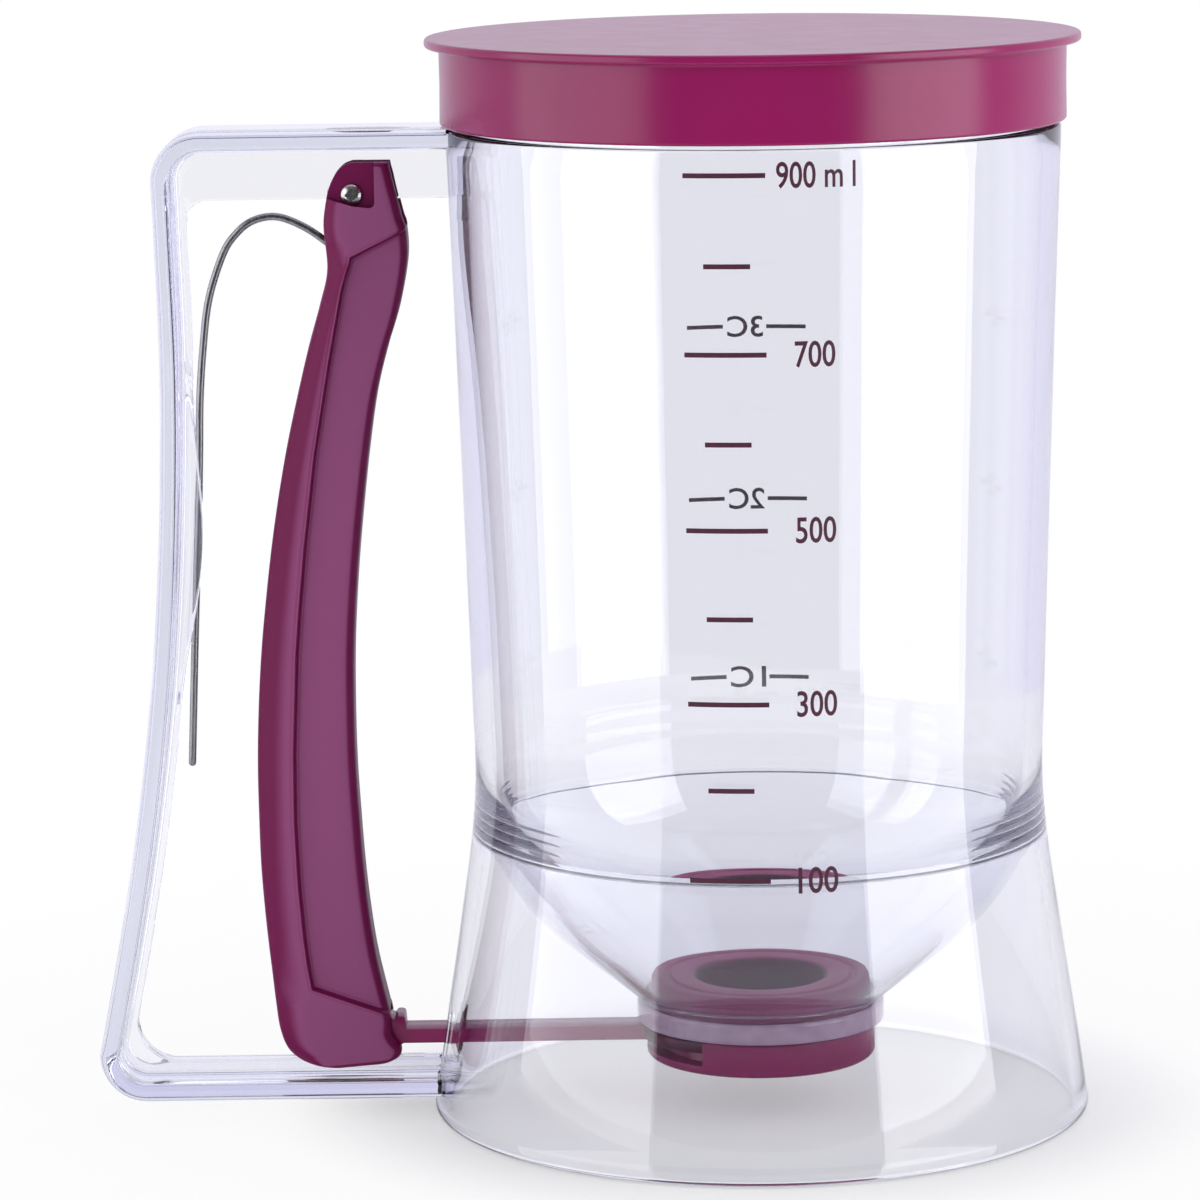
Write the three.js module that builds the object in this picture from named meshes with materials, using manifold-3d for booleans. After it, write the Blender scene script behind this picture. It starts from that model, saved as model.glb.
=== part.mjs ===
// Batter dispenser: a clear jug with a funnel under it, a clear handle loop, a loose lid,
// a squeeze lever and a rod that slides a gate under the outlet. Sizes are millimetres, +Z up.
// The handle points towards -X, and the origin is on the table under the middle of the length.

import * as THREE from 'three';
import { mergeVertices } from 'three/addons/utils/BufferGeometryUtils.js';
import Module from 'manifold-3d';

const wasm = await Module();
wasm.setup();

// Clearances, cut overrun and facets.
const gap = 0.3;
const runningGap = 0.3;
const overrun = 1;
const weld = 0.0001;
const turns = 48;
const smallTurns = 36;
const pinSteps = 24;

// Outlet and gate: a round-ended tongue that slides under the outlet hole.
const outletRadius = 10.9;
const outletChamfer = 0.8;
const gateOverlap = 4.6;
const gateThickness = 2;
const gateTipSetback = 2.5;
const gateTailSetback = 5;
const gateHeight = 12.9;

// Cap under the outlet: a floor ring, a low wall, and a collar with lugs that twist in.
const pocketWall = 1.5;
const collarWall = 1.5;
const capLedge = 0.8;
const capFloor = 3;
const capRoof = 0.6;
const collarRise = 2.9;
const lugReach = 0.9;
const lugHeight = 1.2;
const lugAngle = 24;
const lugCount = 3;
const seatRise = 3;

// Socket and funnel: a short bore under a cone that opens into a round bowl.
const socketWall = 2.1;
const socketDepth = 3.7;
const grooveDepth = 1.2;
const grooveHeight = 1.8;
const grooveRise = 1.2;
const coneAngle = 43;
const bowlRound = 30;

// Jar: a slightly tapered cylinder, widest at the shoulder under the lid.
const jarHeight = 181.6;
const waistRadius = 48.3;
const jarFlare = 3.2;
const jarWall = 3;
const neckDepth = 13.4;
const neckStep = 1.1;
const neckWall = 1.7;

// Skirt: the flared wall that the jug stands on.
const skirtFlare = 7.9;
const skirtFlarePower = 1.15;
const skirtWall = 3;
const skirtSetback = 6;
const footRound = 2;
const rodHoleMargin = 0.6;

// Lid: a flat disc over a ring that drops round the neck, with a plug inside the mouth.
const lidThickness = 1.5;
const lidOverhang = 2.4;
const lidSkirtWall = 1.7;
const lidSkirtDepth = 13;
const lidPlugDepth = 6;
const lidPlugWall = 1.4;
const lidEdgeRound = 0.5;

// Lever: a bowed channel, open towards the handle's leg, on a screw through a boss.
const pivotStandoff = 15.7;
const pivotRise = 1;
const leverBow = 18.6;
const leverWidth = 13;
const leverChannel = 7;
const leverSpine = 2.6;
const leverHeadRise = 5.2;
const leverFootGap = 0.8;
const panelDepth = 1;
const panelBand = 6.2;
const panelTopDrop = 8.6;
const panelFootRise = 10.8;
const panelSlope = 4.6;
const bossRadius = 4.1;
const bossRoom = 1.6;
const blockHeight = 6;
const squeezeAngle = 0.15;

// Handle: a loop of T section, a flange outside and a web inside it.
const pivotToLeg = 32.7;
const legFlare = 13.3;
const handleFoot = 3;
const flangeWidth = 16;
const flangeThickness = 3.2;
const webThickness = 3;
const topWebDepth = 11.5;
const legDepth = 5.2;
const topCornerRadius = 8.5;
const footCornerRadius = 7;
const innerTopRadius = 3.5;
const innerFootRadius = 7;
const guideRise = 2;
const guideDrop = 59.7;
const guideSpan = 54;
const guideWidth = 5;

// Pivot screw and nut, and the pin at the lever's foot.
const screwShank = 2.6;
const screwHead = 4.2;
const screwHeadHeight = 1.1;
const nutFlats = 5;
const nutSides = 6;
const nutHeight = 1.8;
const recessRoom = 0.4;
const recessDepth = 1.8;
const rodPinDiameter = 2.4;
const rodPinCover = 1.2;
const rodPinSetback = 1;

// Spring: one bent wire from the lever's head to the leg of the handle.
const wireDiameter = 1.3;

// Rod: a flat bar with an eye on the pin and a hook in the gate's notch.
const rodThickness = 2.4;
const rodClearance = 0.5;
const rodEyeWall = 1.2;
const rodEyeLength = 6;
const rodWayRoom = 0.9;
const hookNeck = 3.2;
const hookNeckLength = 2.2;
const hookHeadLength = 2.8;

// Radii round the outlet, from the hole outwards.
const halfTurn = Math.PI;
const radians = halfTurn / 180;
const gateRadius = outletRadius + gateOverlap;
const gateTail = gateTailSetback + gateRadius;
const pocketRadius = gateRadius + runningGap;
const collarBore = pocketRadius + pocketWall;
const collarRadius = collarBore + collarWall;
const capRadius = collarRadius + capLedge;
const socketBore = collarRadius + gap;
const socketRadius = socketBore + socketWall;

// Heights from the gate up to the jar's waist, where the skirt leaves the wall.
const gateTop = gateHeight + gateThickness / 2;
const gateBottom = gateHeight - gateThickness / 2;
const capFloorTop = gateBottom - runningGap;
const capBottom = capFloorTop - capFloor;
const capTop = gateTop + capRoof;
const collarTop = capTop + collarRise;
const socketFoot = capTop + gap;
const grooveFoot = socketFoot + grooveRise;
const boreTop = socketFoot + socketDepth;
const coneRise = Math.tan(coneAngle * radians);
const coneTurn = halfTurn / 2 - coneAngle * radians;
const bowlRadius = waistRadius - jarWall;
const bowlOuterRound = bowlRound + jarWall;
const coneReach = bowlRadius - bowlRound * (1 - Math.cos(coneTurn)) - socketBore;
const waistHeight = boreTop + coneReach * coneRise + bowlRound * Math.sin(coneTurn);
const skirtTop = waistHeight - skirtSetback;

// The jar, and the handle and lever beside it; reaches are measured from the jar's axis.
const shoulderHeight = jarHeight - neckDepth;
const shoulderRadius = waistRadius + jarFlare;
const footRadius = waistRadius + skirtFlare;
const neckRadius = shoulderRadius - neckStep;
const lidSkirtRadius = neckRadius + gap + lidSkirtWall;
const lidRadius = lidSkirtRadius + lidOverhang;
const pivotReach = shoulderRadius + pivotStandoff;
const legReach = pivotReach + pivotToLeg;
const handleReach = legReach + legFlare;
const handleTop = shoulderHeight;
const pivotHeight = handleTop - topWebDepth + pivotRise;
const guideHeight = pivotHeight - guideDrop;
const leverDrop = pivotHeight - handleFoot - flangeThickness - leverFootGap;
const jarAxis = (handleReach - footRadius) / 2;
const leverPivotX = jarAxis - pivotReach;

// What runs inside the lever's channel, and how far the rod's pin rises in its slot.
const bossWidth = leverChannel - 2 * gap;
const rodWidth = leverChannel - 2 * gap;
const pinRise = (pivotHeight - gateHeight) * (1 - Math.cos(squeezeAngle));
const slotHeight = rodPinDiameter + pinRise + 2 * gap;
const eyeHeight = slotHeight + 2 * rodEyeWall;
const nutRadius = nutFlats / 2 / Math.cos(halfTurn / nutSides);
const rodPinLength = leverWidth - rodPinCover - 2 * gap;
const rodPinDrop = pivotHeight - gateHeight + slotHeight / 2 - gap - rodPinDiameter / 2;

const materials = {
  clear: { color: 0xe6e8f0, roughness: 0.08, metalness: 0, transparent: true, opacity: 0.45 },
  maroon: { color: 0x7a1245, roughness: 0.32, metalness: 0 },
  seat: { color: 0x9c4a73, roughness: 0.5, metalness: 0 },
  steel: { color: 0xb9b7b4, roughness: 0.3, metalness: 1 },
};

const object = new THREE.Group();

// A closed geometry as a solid that can be joined and cut.
function solid(geometry) {
  const bare = geometry.index ? geometry.toNonIndexed() : geometry.clone();
  for (const name of Object.keys(bare.attributes)) {
    if (name !== 'position') bare.deleteAttribute(name);
  }
  const merged = mergeVertices(bare, weld);
  const mesh = new wasm.Mesh({
    numProp: 3,
    vertProperties: new Float32Array(merged.attributes.position.array),
    triVerts: new Uint32Array(merged.index.array),
  });
  return new wasm.Manifold(mesh);
}

// Adds a solid to the object as one named piece.
function addPiece(name, shape, finish, x, z = 0) {
  const data = shape.getMesh();
  const geometry = new THREE.BufferGeometry();
  geometry.setAttribute('position', new THREE.BufferAttribute(data.vertProperties, 3));
  geometry.setIndex(new THREE.BufferAttribute(data.triVerts, 1));
  geometry.computeVertexNormals();
  const mesh = new THREE.Mesh(geometry, new THREE.MeshStandardMaterial(materials[finish]));
  mesh.name = name;
  mesh.position.set(x, 0, z);
  object.add(mesh);
}

// A ring or disc turned about Z from [radius, height] points.
function turned(points, steps = turns) {
  const profile = points.map(([radius, height]) => new THREE.Vector2(radius, height));
  if (THREE.ShapeUtils.area(profile) < 0) profile.reverse();
  if (profile[0].x > 0) profile.push(profile[0].clone());
  const geometry = new THREE.LatheGeometry(profile, steps);
  geometry.rotateX(halfTurn / 2);
  return solid(geometry);
}

// A plate whose outline is drawn in X and Z, centred on y and width wide.
function plate(points, width, y = 0) {
  const geometry = new THREE.ExtrudeGeometry(new THREE.Shape(points), {
    depth: width, bevelEnabled: false,
  });
  geometry.translate(0, 0, -width / 2);
  geometry.rotateX(halfTurn / 2);
  geometry.translate(0, y, 0);
  return solid(geometry);
}

// A plate whose outline is drawn in X and Y, from height bottom up to height top.
function slab(shape, bottom, top) {
  const geometry = new THREE.ExtrudeGeometry(shape, {
    depth: top - bottom, bevelEnabled: false, curveSegments: 16,
  });
  geometry.translate(0, 0, bottom);
  return solid(geometry);
}

function block(x0, x1, y0, y1, z0, z1) {
  const geometry = new THREE.BoxGeometry(x1 - x0, y1 - y0, z1 - z0);
  geometry.translate((x0 + x1) / 2, (y0 + y1) / 2, (z0 + z1) / 2);
  return solid(geometry);
}

// A round bar along Y.
function crossBar(radius, x, z, y0, y1, steps = pinSteps) {
  const geometry = new THREE.CylinderGeometry(radius, radius, y1 - y0, steps);
  geometry.translate(x, (y0 + y1) / 2, z);
  return solid(geometry);
}

function vector(x, z) {
  return new THREE.Vector2(x, z);
}

// Points along a smooth curve through the given points.
function smooth(points, steps) {
  return new THREE.SplineCurve(points).getPoints(steps);
}

// Points on an arc; from and to count quarter turns.
function arc(x, z, radius, from, to, steps = 6) {
  const points = [];
  for (let i = 0; i <= steps; i += 1) {
    const angle = (from + (to - from) * i / steps) * halfTurn / 2;
    points.push(vector(x + radius * Math.cos(angle), z + radius * Math.sin(angle)));
  }
  return points;
}

// Bowl arc: vertical at the waist, turning in until it meets the cone's slope.
function bowlPoints(radius, round, steps) {
  const points = [];
  for (let i = 0; i <= steps; i += 1) {
    const angle = coneTurn * i / steps;
    points.push([radius - round + round * Math.cos(angle), waistHeight - round * Math.sin(angle)]);
  }
  return points;
}

// Height of the cone's line at a radius, starting from the end of the bowl arc.
function coneHeight(bowl, radius) {
  const [endRadius, endHeight] = bowl[bowl.length - 1];
  return endHeight - (endRadius - radius) * coneRise;
}

const bowlSteps = 8;
const bowlInner = bowlPoints(bowlRadius, bowlRound, bowlSteps);
const bowlOuter = bowlPoints(waistRadius, bowlOuterRound, bowlSteps);
const socketTop = coneHeight(bowlOuter, socketRadius);

function container() {
  const profile = [
    [neckRadius - neckWall, jarHeight],
    [neckRadius - neckWall, shoulderHeight],
    [shoulderRadius - jarWall, shoulderHeight - neckWall],
    ...bowlInner,
    [socketBore, boreTop],
    [socketBore, grooveFoot + grooveHeight],
    [socketBore + grooveDepth, grooveFoot + grooveHeight],
    [socketBore + grooveDepth, grooveFoot],
    [socketBore, grooveFoot],
    [socketBore, socketFoot],
    [socketRadius, socketFoot],
    [socketRadius, socketTop],
    ...[...bowlOuter].reverse(),
    [shoulderRadius, shoulderHeight],
    [neckRadius, shoulderHeight],
    [neckRadius, jarHeight],
  ];
  let jar = turned(profile);
  const entryWidth = 2 * socketBore * Math.sin(lugAngle * radians / 2) + 2 * gap;
  for (let i = 0; i < lugCount; i += 1) {
    const entry = block(0, socketBore + grooveDepth, -entryWidth / 2, entryWidth / 2,
      socketFoot - overrun, grooveFoot + grooveHeight / 2);
    jar = jar.subtract(entry.rotate([0, 0, lugTurn(i) + lugAngle + lugAngle / 2]));
  }
  return jar;
}

// Bearing of a lug in degrees; none lies over the gate's way out.
function lugTurn(index) {
  return (index - (lugCount - 1) / 2) * 360 / (lugCount + 1);
}

function skirtRadiusAt(height) {
  const share = (waistHeight - height) / (waistHeight - footRound);
  return waistRadius + (footRadius - waistRadius) * share ** skirtFlarePower;
}

function baseSkirt() {
  const inner = [];
  const steps = 5;
  const centre = waistRadius - bowlOuterRound;
  const reach = bowlOuterRound + gap;
  const start = Math.asin(skirtSetback / reach);
  for (let i = 0; i <= steps; i += 1) {
    const angle = start + (coneTurn / 2 - start) * i / steps;
    const radius = centre + reach * Math.cos(angle);
    const height = waistHeight - reach * Math.sin(angle);
    if (radius > skirtRadiusAt(height) - skirtWall) inner.push([radius, height]);
  }
  const [, joinHeight] = inner[inner.length - 1];
  const outside = [];
  const inside = [];
  const rows = 4;
  for (let i = 0; i < rows; i += 1) {
    const outerHeight = footRound + (skirtTop - footRound) * i / rows;
    const innerHeight = footRound + (joinHeight - skirtWall - footRound) * (rows - 1 - i) / (rows - 1);
    outside.push([skirtRadiusAt(outerHeight), outerHeight]);
    inside.push([skirtRadiusAt(innerHeight) - skirtWall, innerHeight]);
  }
  const profile = [
    [skirtRadiusAt(skirtTop), skirtTop],
    ...inner,
    ...inside,
    [footRadius - skirtWall + footRound / 4, 0],
    [footRadius - footRound / 2, 0],
    ...outside,
  ];
  const holeWidth = rodWidth + 2 * rodHoleMargin;
  const holeHeight = eyeHeight + 2 * rodHoleMargin;
  const hole = block(-footRadius - overrun, 0, -holeWidth / 2, holeWidth / 2,
    gateHeight - holeHeight / 2, gateHeight + holeHeight / 2);
  return turned(profile).subtract(hole);
}

function lid() {
  const under = jarHeight + gap;
  const top = under + lidThickness;
  const plugOuter = neckRadius - neckWall - gap;
  return turned([
    [0, top],
    [lidRadius - lidEdgeRound, top],
    [lidRadius, top - lidEdgeRound],
    [lidRadius, under + lidEdgeRound / 2],
    [lidRadius - lidEdgeRound / 2, under],
    [lidSkirtRadius, under],
    [lidSkirtRadius, under - lidSkirtDepth],
    [neckRadius + gap, under - lidSkirtDepth],
    [neckRadius + gap, under],
    [plugOuter, under],
    [plugOuter, under - lidPlugDepth],
    [plugOuter - lidPlugWall, under - lidPlugDepth],
    [plugOuter - lidPlugWall, under],
    [0, under],
  ]);
}

// The leg's outer face: shares of the leg's height, and of how far it flares past its top.
const legShares = [[0, 1], [0.21, 0.55], [0.4, 0.25], [0.58, 0.08], [0.78, 0], [0.94, 0.03], [1, 0.05]];
const legFoot = handleFoot + footCornerRadius;
const legHead = handleTop - topCornerRadius;
const legCurve = new THREE.SplineCurve(legShares.map(([heightShare, flareShare]) => vector(
  -legReach - legFlare * flareShare,
  legFoot + (legHead - legFoot) * heightShare,
)));

const leg = legCurve.getPoints(28);

// How far the web stands in from the leg's outer face: more where it guides the wire.
function webDepthAt(height) {
  const share = Math.min(Math.abs(height - guideHeight) / (guideSpan / 2), 1);
  return legDepth + guideRise * (1 + Math.cos(share * halfTurn)) / 2;
}

function handle() {
  const foot = leg[0];
  const head = leg[leg.length - 1];
  const outer = [
    vector(0, handleFoot),
    ...arc(foot.x + footCornerRadius, foot.y, footCornerRadius, 3, 2),
    ...leg.slice(1, -1),
    ...arc(head.x + topCornerRadius, head.y, topCornerRadius, 2, 1),
    vector(0, handleTop),
  ];
  const flangeInner = offset(outer, flangeThickness);
  const webFoot = gateHeight - eyeHeight / 2 - rodClearance;
  const webHead = handleTop - topWebDepth;
  const inside = leg
    .map((point) => vector(point.x + webDepthAt(point.y), point.y))
    .filter((point) => point.y > webFoot + innerFootRadius && point.y < webHead - innerTopRadius);
  const low = inside[0];
  const high = inside[inside.length - 1];
  const webInner = [
    vector(0, webFoot),
    ...arc(low.x + innerFootRadius, webFoot + innerFootRadius, innerFootRadius, 3, 2),
    ...inside,
    ...arc(high.x + innerTopRadius, webHead - innerTopRadius, innerTopRadius, 2, 1),
    vector(0, webHead),
  ];
  const flange = plate([...outer, ...flangeInner.reverse()], flangeWidth);
  const web = plate([...outer, ...[...webInner].reverse()], webThickness);
  const guideBottom = guideHeight - guideSpan / 2;
  const guideTop = guideHeight + guideSpan / 2;
  const guideInner = inside.filter((point) => point.y > guideBottom && point.y < guideTop);
  const guideOuter = guideInner.map((point) => vector(
    point.x - webDepthAt(point.y) + flangeThickness / 2, point.y,
  ));
  const guide = plate([...guideInner, ...guideOuter.reverse()], guideWidth);
  const grooveOuter = guideInner.map((point) => vector(point.x - webDepthAt(point.y) + legDepth, point.y));
  const grooveReach = guideInner.map((point) => vector(point.x + overrun, point.y));
  const groove = plate([...grooveReach, ...[...grooveOuter].reverse()], wireDiameter + 2 * gap);
  const boss = crossBar(bossRadius, -pivotReach, pivotHeight, -bossWidth / 2, bossWidth / 2, smallTurns);
  const bore = crossBar(screwShank / 2 + gap, -pivotReach, pivotHeight, -flangeWidth, flangeWidth);
  const keepOut = turned([
    [0, shoulderHeight],
    [shoulderRadius + gap, shoulderHeight],
    [waistRadius + gap, waistHeight],
    [skirtRadiusAt(0) + gap, 0],
    [0, 0],
  ]);
  const neckKeepOut = turned([
    [0, handleTop + overrun],
    [shoulderRadius + gap, handleTop + overrun],
    [shoulderRadius + gap, shoulderHeight - overrun],
    [0, shoulderHeight - overrun],
  ]);
  return flange.add(web).add(guide).subtract(groove).add(boss).subtract(bore)
    .subtract(keepOut).subtract(neckKeepOut);
}

// A line of points moved sideways, to its left when distance is negative.
function offset(points, distance) {
  return points.map((point, index) => {
    const before = points[Math.max(index - 1, 0)];
    const after = points[Math.min(index + 1, points.length - 1)];
    const along = vector(after.x - before.x, after.y - before.y).normalize();
    return vector(point.x + along.y * distance, point.y - along.x * distance);
  });
}

// Lever outline about the pivot: shares of the bow (towards the leg) and of the drop.
const leverLegShares = [
  [0.242, 0.02], [0.242, 0.064], [0.452, 0.177], [0.758, 0.345], [0.946, 0.516],
  [1, 0.662], [0.962, 0.808], [0.876, 0.922],
];
const leverJarShares = [
  [-0.505, 0.064], [-0.435, 0.121], [-0.199, 0.234], [-0.005, 0.403], [0.059, 0.575],
  [0.043, 0.69], [-0.022, 0.808], [-0.15, 0.9], [-0.25, 0.965],
];
const leverHeadShares = [[-0.47, -0.6], [-0.34, 1], [0.02, 1], [0.2, 0.25]];
const leverFootShares = [[-0.24, 0.985], [-0.14, 0.998], [0.3, 1], [0.62, 0.996], [0.79, 0.975]];

function leverPoint([bowShare, dropShare]) {
  return vector(-bowShare * leverBow, -dropShare * leverDrop);
}

const leverLegEdge = smooth(leverLegShares.map(leverPoint), 22);
const leverJarEdge = smooth(leverJarShares.map(leverPoint), 22);

// Sideways place of one of the lever's edges at a height, by straight steps.
function edgeAt(edge, height) {
  const low = edge.findIndex((point) => point.y <= height);
  const index = Math.max(low < 0 ? edge.length - 1 : low, 1);
  const below = edge[index];
  const above = edge[index - 1];
  const share = (height - below.y) / (above.y - below.y);
  return below.x + (above.x - below.x) * share;
}

function leverOutline() {
  const head = leverHeadShares.map(([bowShare, riseShare]) => vector(
    -bowShare * leverBow, riseShare * leverHeadRise,
  ));
  const foot = leverFootShares.map(leverPoint);
  return [...leverLegEdge].reverse().concat(head.reverse(), leverJarEdge, foot);
}

// The part of the channel between two heights, leaving the spine on the jar's side.
function channelBetween(top, bottom) {
  const steps = 16;
  const points = [];
  for (let i = 0; i <= steps; i += 1) {
    const height = top + (bottom - top) * i / steps;
    points.push(vector(edgeAt(leverJarEdge, height) - leverSpine, height));
  }
  points.push(vector(-leverBow - overrun, bottom), vector(-leverBow - overrun, top));
  return plate(points, leverChannel);
}

function lever() {
  const blockTop = -bossRadius - bossRoom;
  const blockBottom = blockTop - blockHeight;
  const wireKerf = wireDiameter + 2 * gap;
  let shape = plate(leverOutline(), leverWidth);
  const steps = 16;
  const panelTop = -panelTopDrop;
  const panelFoot = panelFootRise - leverDrop;
  for (const side of [-1, 1]) {
    const points = [];
    for (let i = 0; i <= steps; i += 1) {
      const height = panelTop - panelSlope / 2 + (panelFoot + panelSlope - panelTop) * i / steps;
      points.push(vector(edgeAt(leverLegEdge, height) + panelBand, height));
    }
    points.push(vector(leverBow + overrun, panelFoot), vector(leverBow + overrun, panelTop + panelSlope));
    const depth = panelDepth + overrun;
    shape = shape.subtract(plate(points, depth, side * (leverWidth / 2 - panelDepth + depth / 2)));
    const face = side * leverWidth / 2;
    shape = shape.subtract(
      crossBar(nutRadius + recessRoom, 0, 0, face - recessDepth, face + recessDepth),
    );
  }
  const fork = plate([
    vector(-leverBow, leverHeadRise + overrun),
    vector(leverBow, leverHeadRise + overrun),
    vector(leverBow, blockTop),
    vector(-leverBow, blockTop),
  ], leverChannel);
  const kerf = block(-leverBow, wireDiameter, -wireKerf / 2, wireKerf / 2,
    blockBottom - overrun, blockTop + overrun);
  shape = shape.subtract(fork).subtract(kerf);
  shape = shape.subtract(channelBetween(blockBottom, -leverDrop));
  const rodWay = gateHeight + eyeHeight / 2 + rodWayRoom - pivotHeight;
  shape = shape.subtract(block(-2 * leverBow, leverBow, -leverChannel / 2, leverChannel / 2,
    -leverDrop - overrun, rodWay));
  const screwHole = crossBar(screwShank / 2 + gap, 0, 0, -leverWidth, leverWidth);
  shape = shape.subtract(screwHole);
  const pinHole = crossBar(rodPinDiameter / 2 + gap, rodPinSetback, -rodPinDrop,
    -leverWidth / 2 + rodPinCover, leverWidth);
  return shape.subtract(pinHole);
}

function pivotScrew() {
  const headFace = -leverWidth / 2 + recessDepth;
  const bearing = headFace - gap;
  const end = leverWidth / 2 - recessDepth + gap;
  return crossBar(screwHead / 2, 0, 0, bearing - screwHeadHeight, bearing)
    .add(crossBar(screwShank / 2, 0, 0, bearing - screwHeadHeight / 2, end + nutHeight));
}

function pivotNut() {
  const start = leverWidth / 2 - recessDepth + gap;
  const hex = crossBar(nutRadius, 0, 0, start, start + nutHeight, nutSides);
  return hex.subtract(crossBar(screwShank / 2 + gap, 0, 0, start - overrun, start + nutHeight + overrun));
}

function rodPin() {
  const start = -leverWidth / 2 + rodPinCover + gap;
  return crossBar(rodPinDiameter / 2, 0, 0, start, start + rodPinLength, 20);
}

// Wire from inside the lever's block, over its arch and down the leg: shares of the way
// from the pivot to where it lies in the guide, sideways and down. It never goes into the leg.
const wireShares = [
  [-0.012, 0.243], [0.071, 0.174], [0.163, 0.139], [0.318, 0.077], [0.474, 0.052], [0.628, 0.068],
  [0.74, 0.126], [0.817, 0.206], [0.87, 0.298], [0.919, 0.442], [0.95, 0.583],
  [0.973, 0.73], [0.993, 0.898], [1.003, 1.018], [1.021, 1.236], [1.068, 1.625],
];

function springWire() {
  const legDown = [...leg].reverse();
  const legClearance = legDepth + gap + wireDiameter / 2;
  const reach = edgeAt(legDown, guideHeight) + legClearance + pivotReach;
  const route = wireShares.map(([reachShare, dropShare]) => {
    const height = -dropShare * guideDrop;
    const nearest = edgeAt(legDown, pivotHeight + height) + legClearance + pivotReach;
    return new THREE.Vector3(Math.max(reachShare * reach, nearest), 0, height);
  });
  const section = new THREE.Shape();
  section.absarc(0, 0, wireDiameter / 2, 0, 2 * halfTurn);
  const geometry = new THREE.ExtrudeGeometry(new THREE.Shape(section.getPoints(4).slice(0, -1)), {
    steps: 48, extrudePath: new THREE.CatmullRomCurve3(route), bevelEnabled: false,
  });
  return solid(geometry);
}

// Rod from the eye at the lever's foot to the hook that lies in the gate's notch.
function pushRod() {
  const eyeX = -pivotReach + rodPinSetback;
  const bottom = gateHeight - rodThickness / 2;
  const top = gateHeight + rodThickness / 2;
  const hookStart = -gateTail + gap;
  const bar = block(eyeX, hookStart - hookNeckLength, -rodWidth / 2, rodWidth / 2, bottom, top);
  const neck = block(hookStart - hookNeckLength - overrun, hookStart + hookNeckLength + overrun,
    -hookNeck / 2, hookNeck / 2, gateBottom, gateTop);
  const head = block(hookStart + hookNeckLength, hookStart + hookNeckLength + hookHeadLength,
    -rodWidth / 2, rodWidth / 2, gateBottom, gateTop);
  const eye = block(eyeX - rodEyeLength / 2, eyeX + rodEyeLength / 2, -rodWidth / 2, rodWidth / 2,
    gateHeight - eyeHeight / 2, gateHeight + eyeHeight / 2);
  const slotWidth = rodPinDiameter + 2 * runningGap;
  const slot = block(eyeX - slotWidth / 2, eyeX + slotWidth / 2, -rodWidth, rodWidth,
    gateHeight - slotHeight / 2, gateHeight + slotHeight / 2);
  return bar.add(neck).add(head).add(eye).subtract(slot);
}

// The gate's outline, round at both ends.
function gateShape() {
  const shape = new THREE.Shape();
  shape.absarc(-gateTipSetback, 0, gateRadius, -halfTurn / 2, halfTurn / 2);
  shape.absarc(-gateTailSetback, 0, gateRadius, halfTurn / 2, halfTurn * 3 / 2);
  return shape;
}

// The pocket that the gate runs in, open towards the lever.
function pocketShape() {
  const tail = capRadius + overrun;
  const shape = new THREE.Shape();
  shape.moveTo(-tail, -pocketRadius);
  shape.lineTo(-gateTipSetback, -pocketRadius);
  shape.absarc(-gateTipSetback, 0, pocketRadius, -halfTurn / 2, halfTurn / 2);
  shape.lineTo(-tail, pocketRadius);
  return shape;
}

function gate() {
  const tongue = slab(gateShape(), gateBottom, gateTop);
  const neck = block(-gateTail - overrun, -gateTail + gap + hookNeckLength + overrun,
    -hookNeck / 2 - gap, hookNeck / 2 + gap, 0, gateTop + overrun);
  const pocketStart = -gateTail + hookNeckLength;
  const pocket = block(pocketStart, pocketStart + hookHeadLength + 2 * gap,
    -rodWidth / 2 - gap, rodWidth / 2 + gap, 0, gateTop + overrun);
  return tongue.subtract(neck).subtract(pocket);
}

function valveSeat() {
  const shoulder = collarTop + gap;
  const top = boreTop + seatRise;
  const bottom = gateTop + runningGap;
  const stem = collarBore - gap;
  return turned([
    [outletRadius + outletChamfer, top],
    [outletRadius, top - outletChamfer],
    [outletRadius, bottom],
    [stem, bottom],
    [stem, shoulder],
    [collarRadius, shoulder],
    [collarRadius, top - outletChamfer / 2],
    [collarRadius - outletChamfer / 2, top],
  ], smallTurns);
}

function valveCap() {
  let cap = turned([
    [outletRadius, gateTop],
    [outletRadius, capBottom + outletChamfer],
    [outletRadius + outletChamfer, capBottom],
    [capRadius - outletChamfer, capBottom],
    [capRadius, capBottom + outletChamfer],
    [capRadius, capTop],
    [collarRadius, capTop],
    [collarRadius, collarTop],
    [collarBore, collarTop],
    [collarBore, gateTop],
  ], smallTurns);
  const lug = sector(collarBore + collarWall / 2, collarRadius + lugReach, lugAngle);
  for (let i = 0; i < lugCount; i += 1) {
    cap = cap.add(slab(lug, collarTop - lugHeight, collarTop).rotate([0, 0, lugTurn(i)]));
  }
  const pocket = slab(pocketShape(), capFloorTop, gateTop + runningGap);
  return cap.subtract(pocket);
}

// A piece of a flat ring, centred on +X.
function sector(inner, outer, angle) {
  const half = angle * radians / 2;
  const shape = new THREE.Shape();
  shape.absarc(0, 0, outer, -half, half);
  shape.absarc(0, 0, inner, half, -half, true);
  return shape;
}

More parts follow.
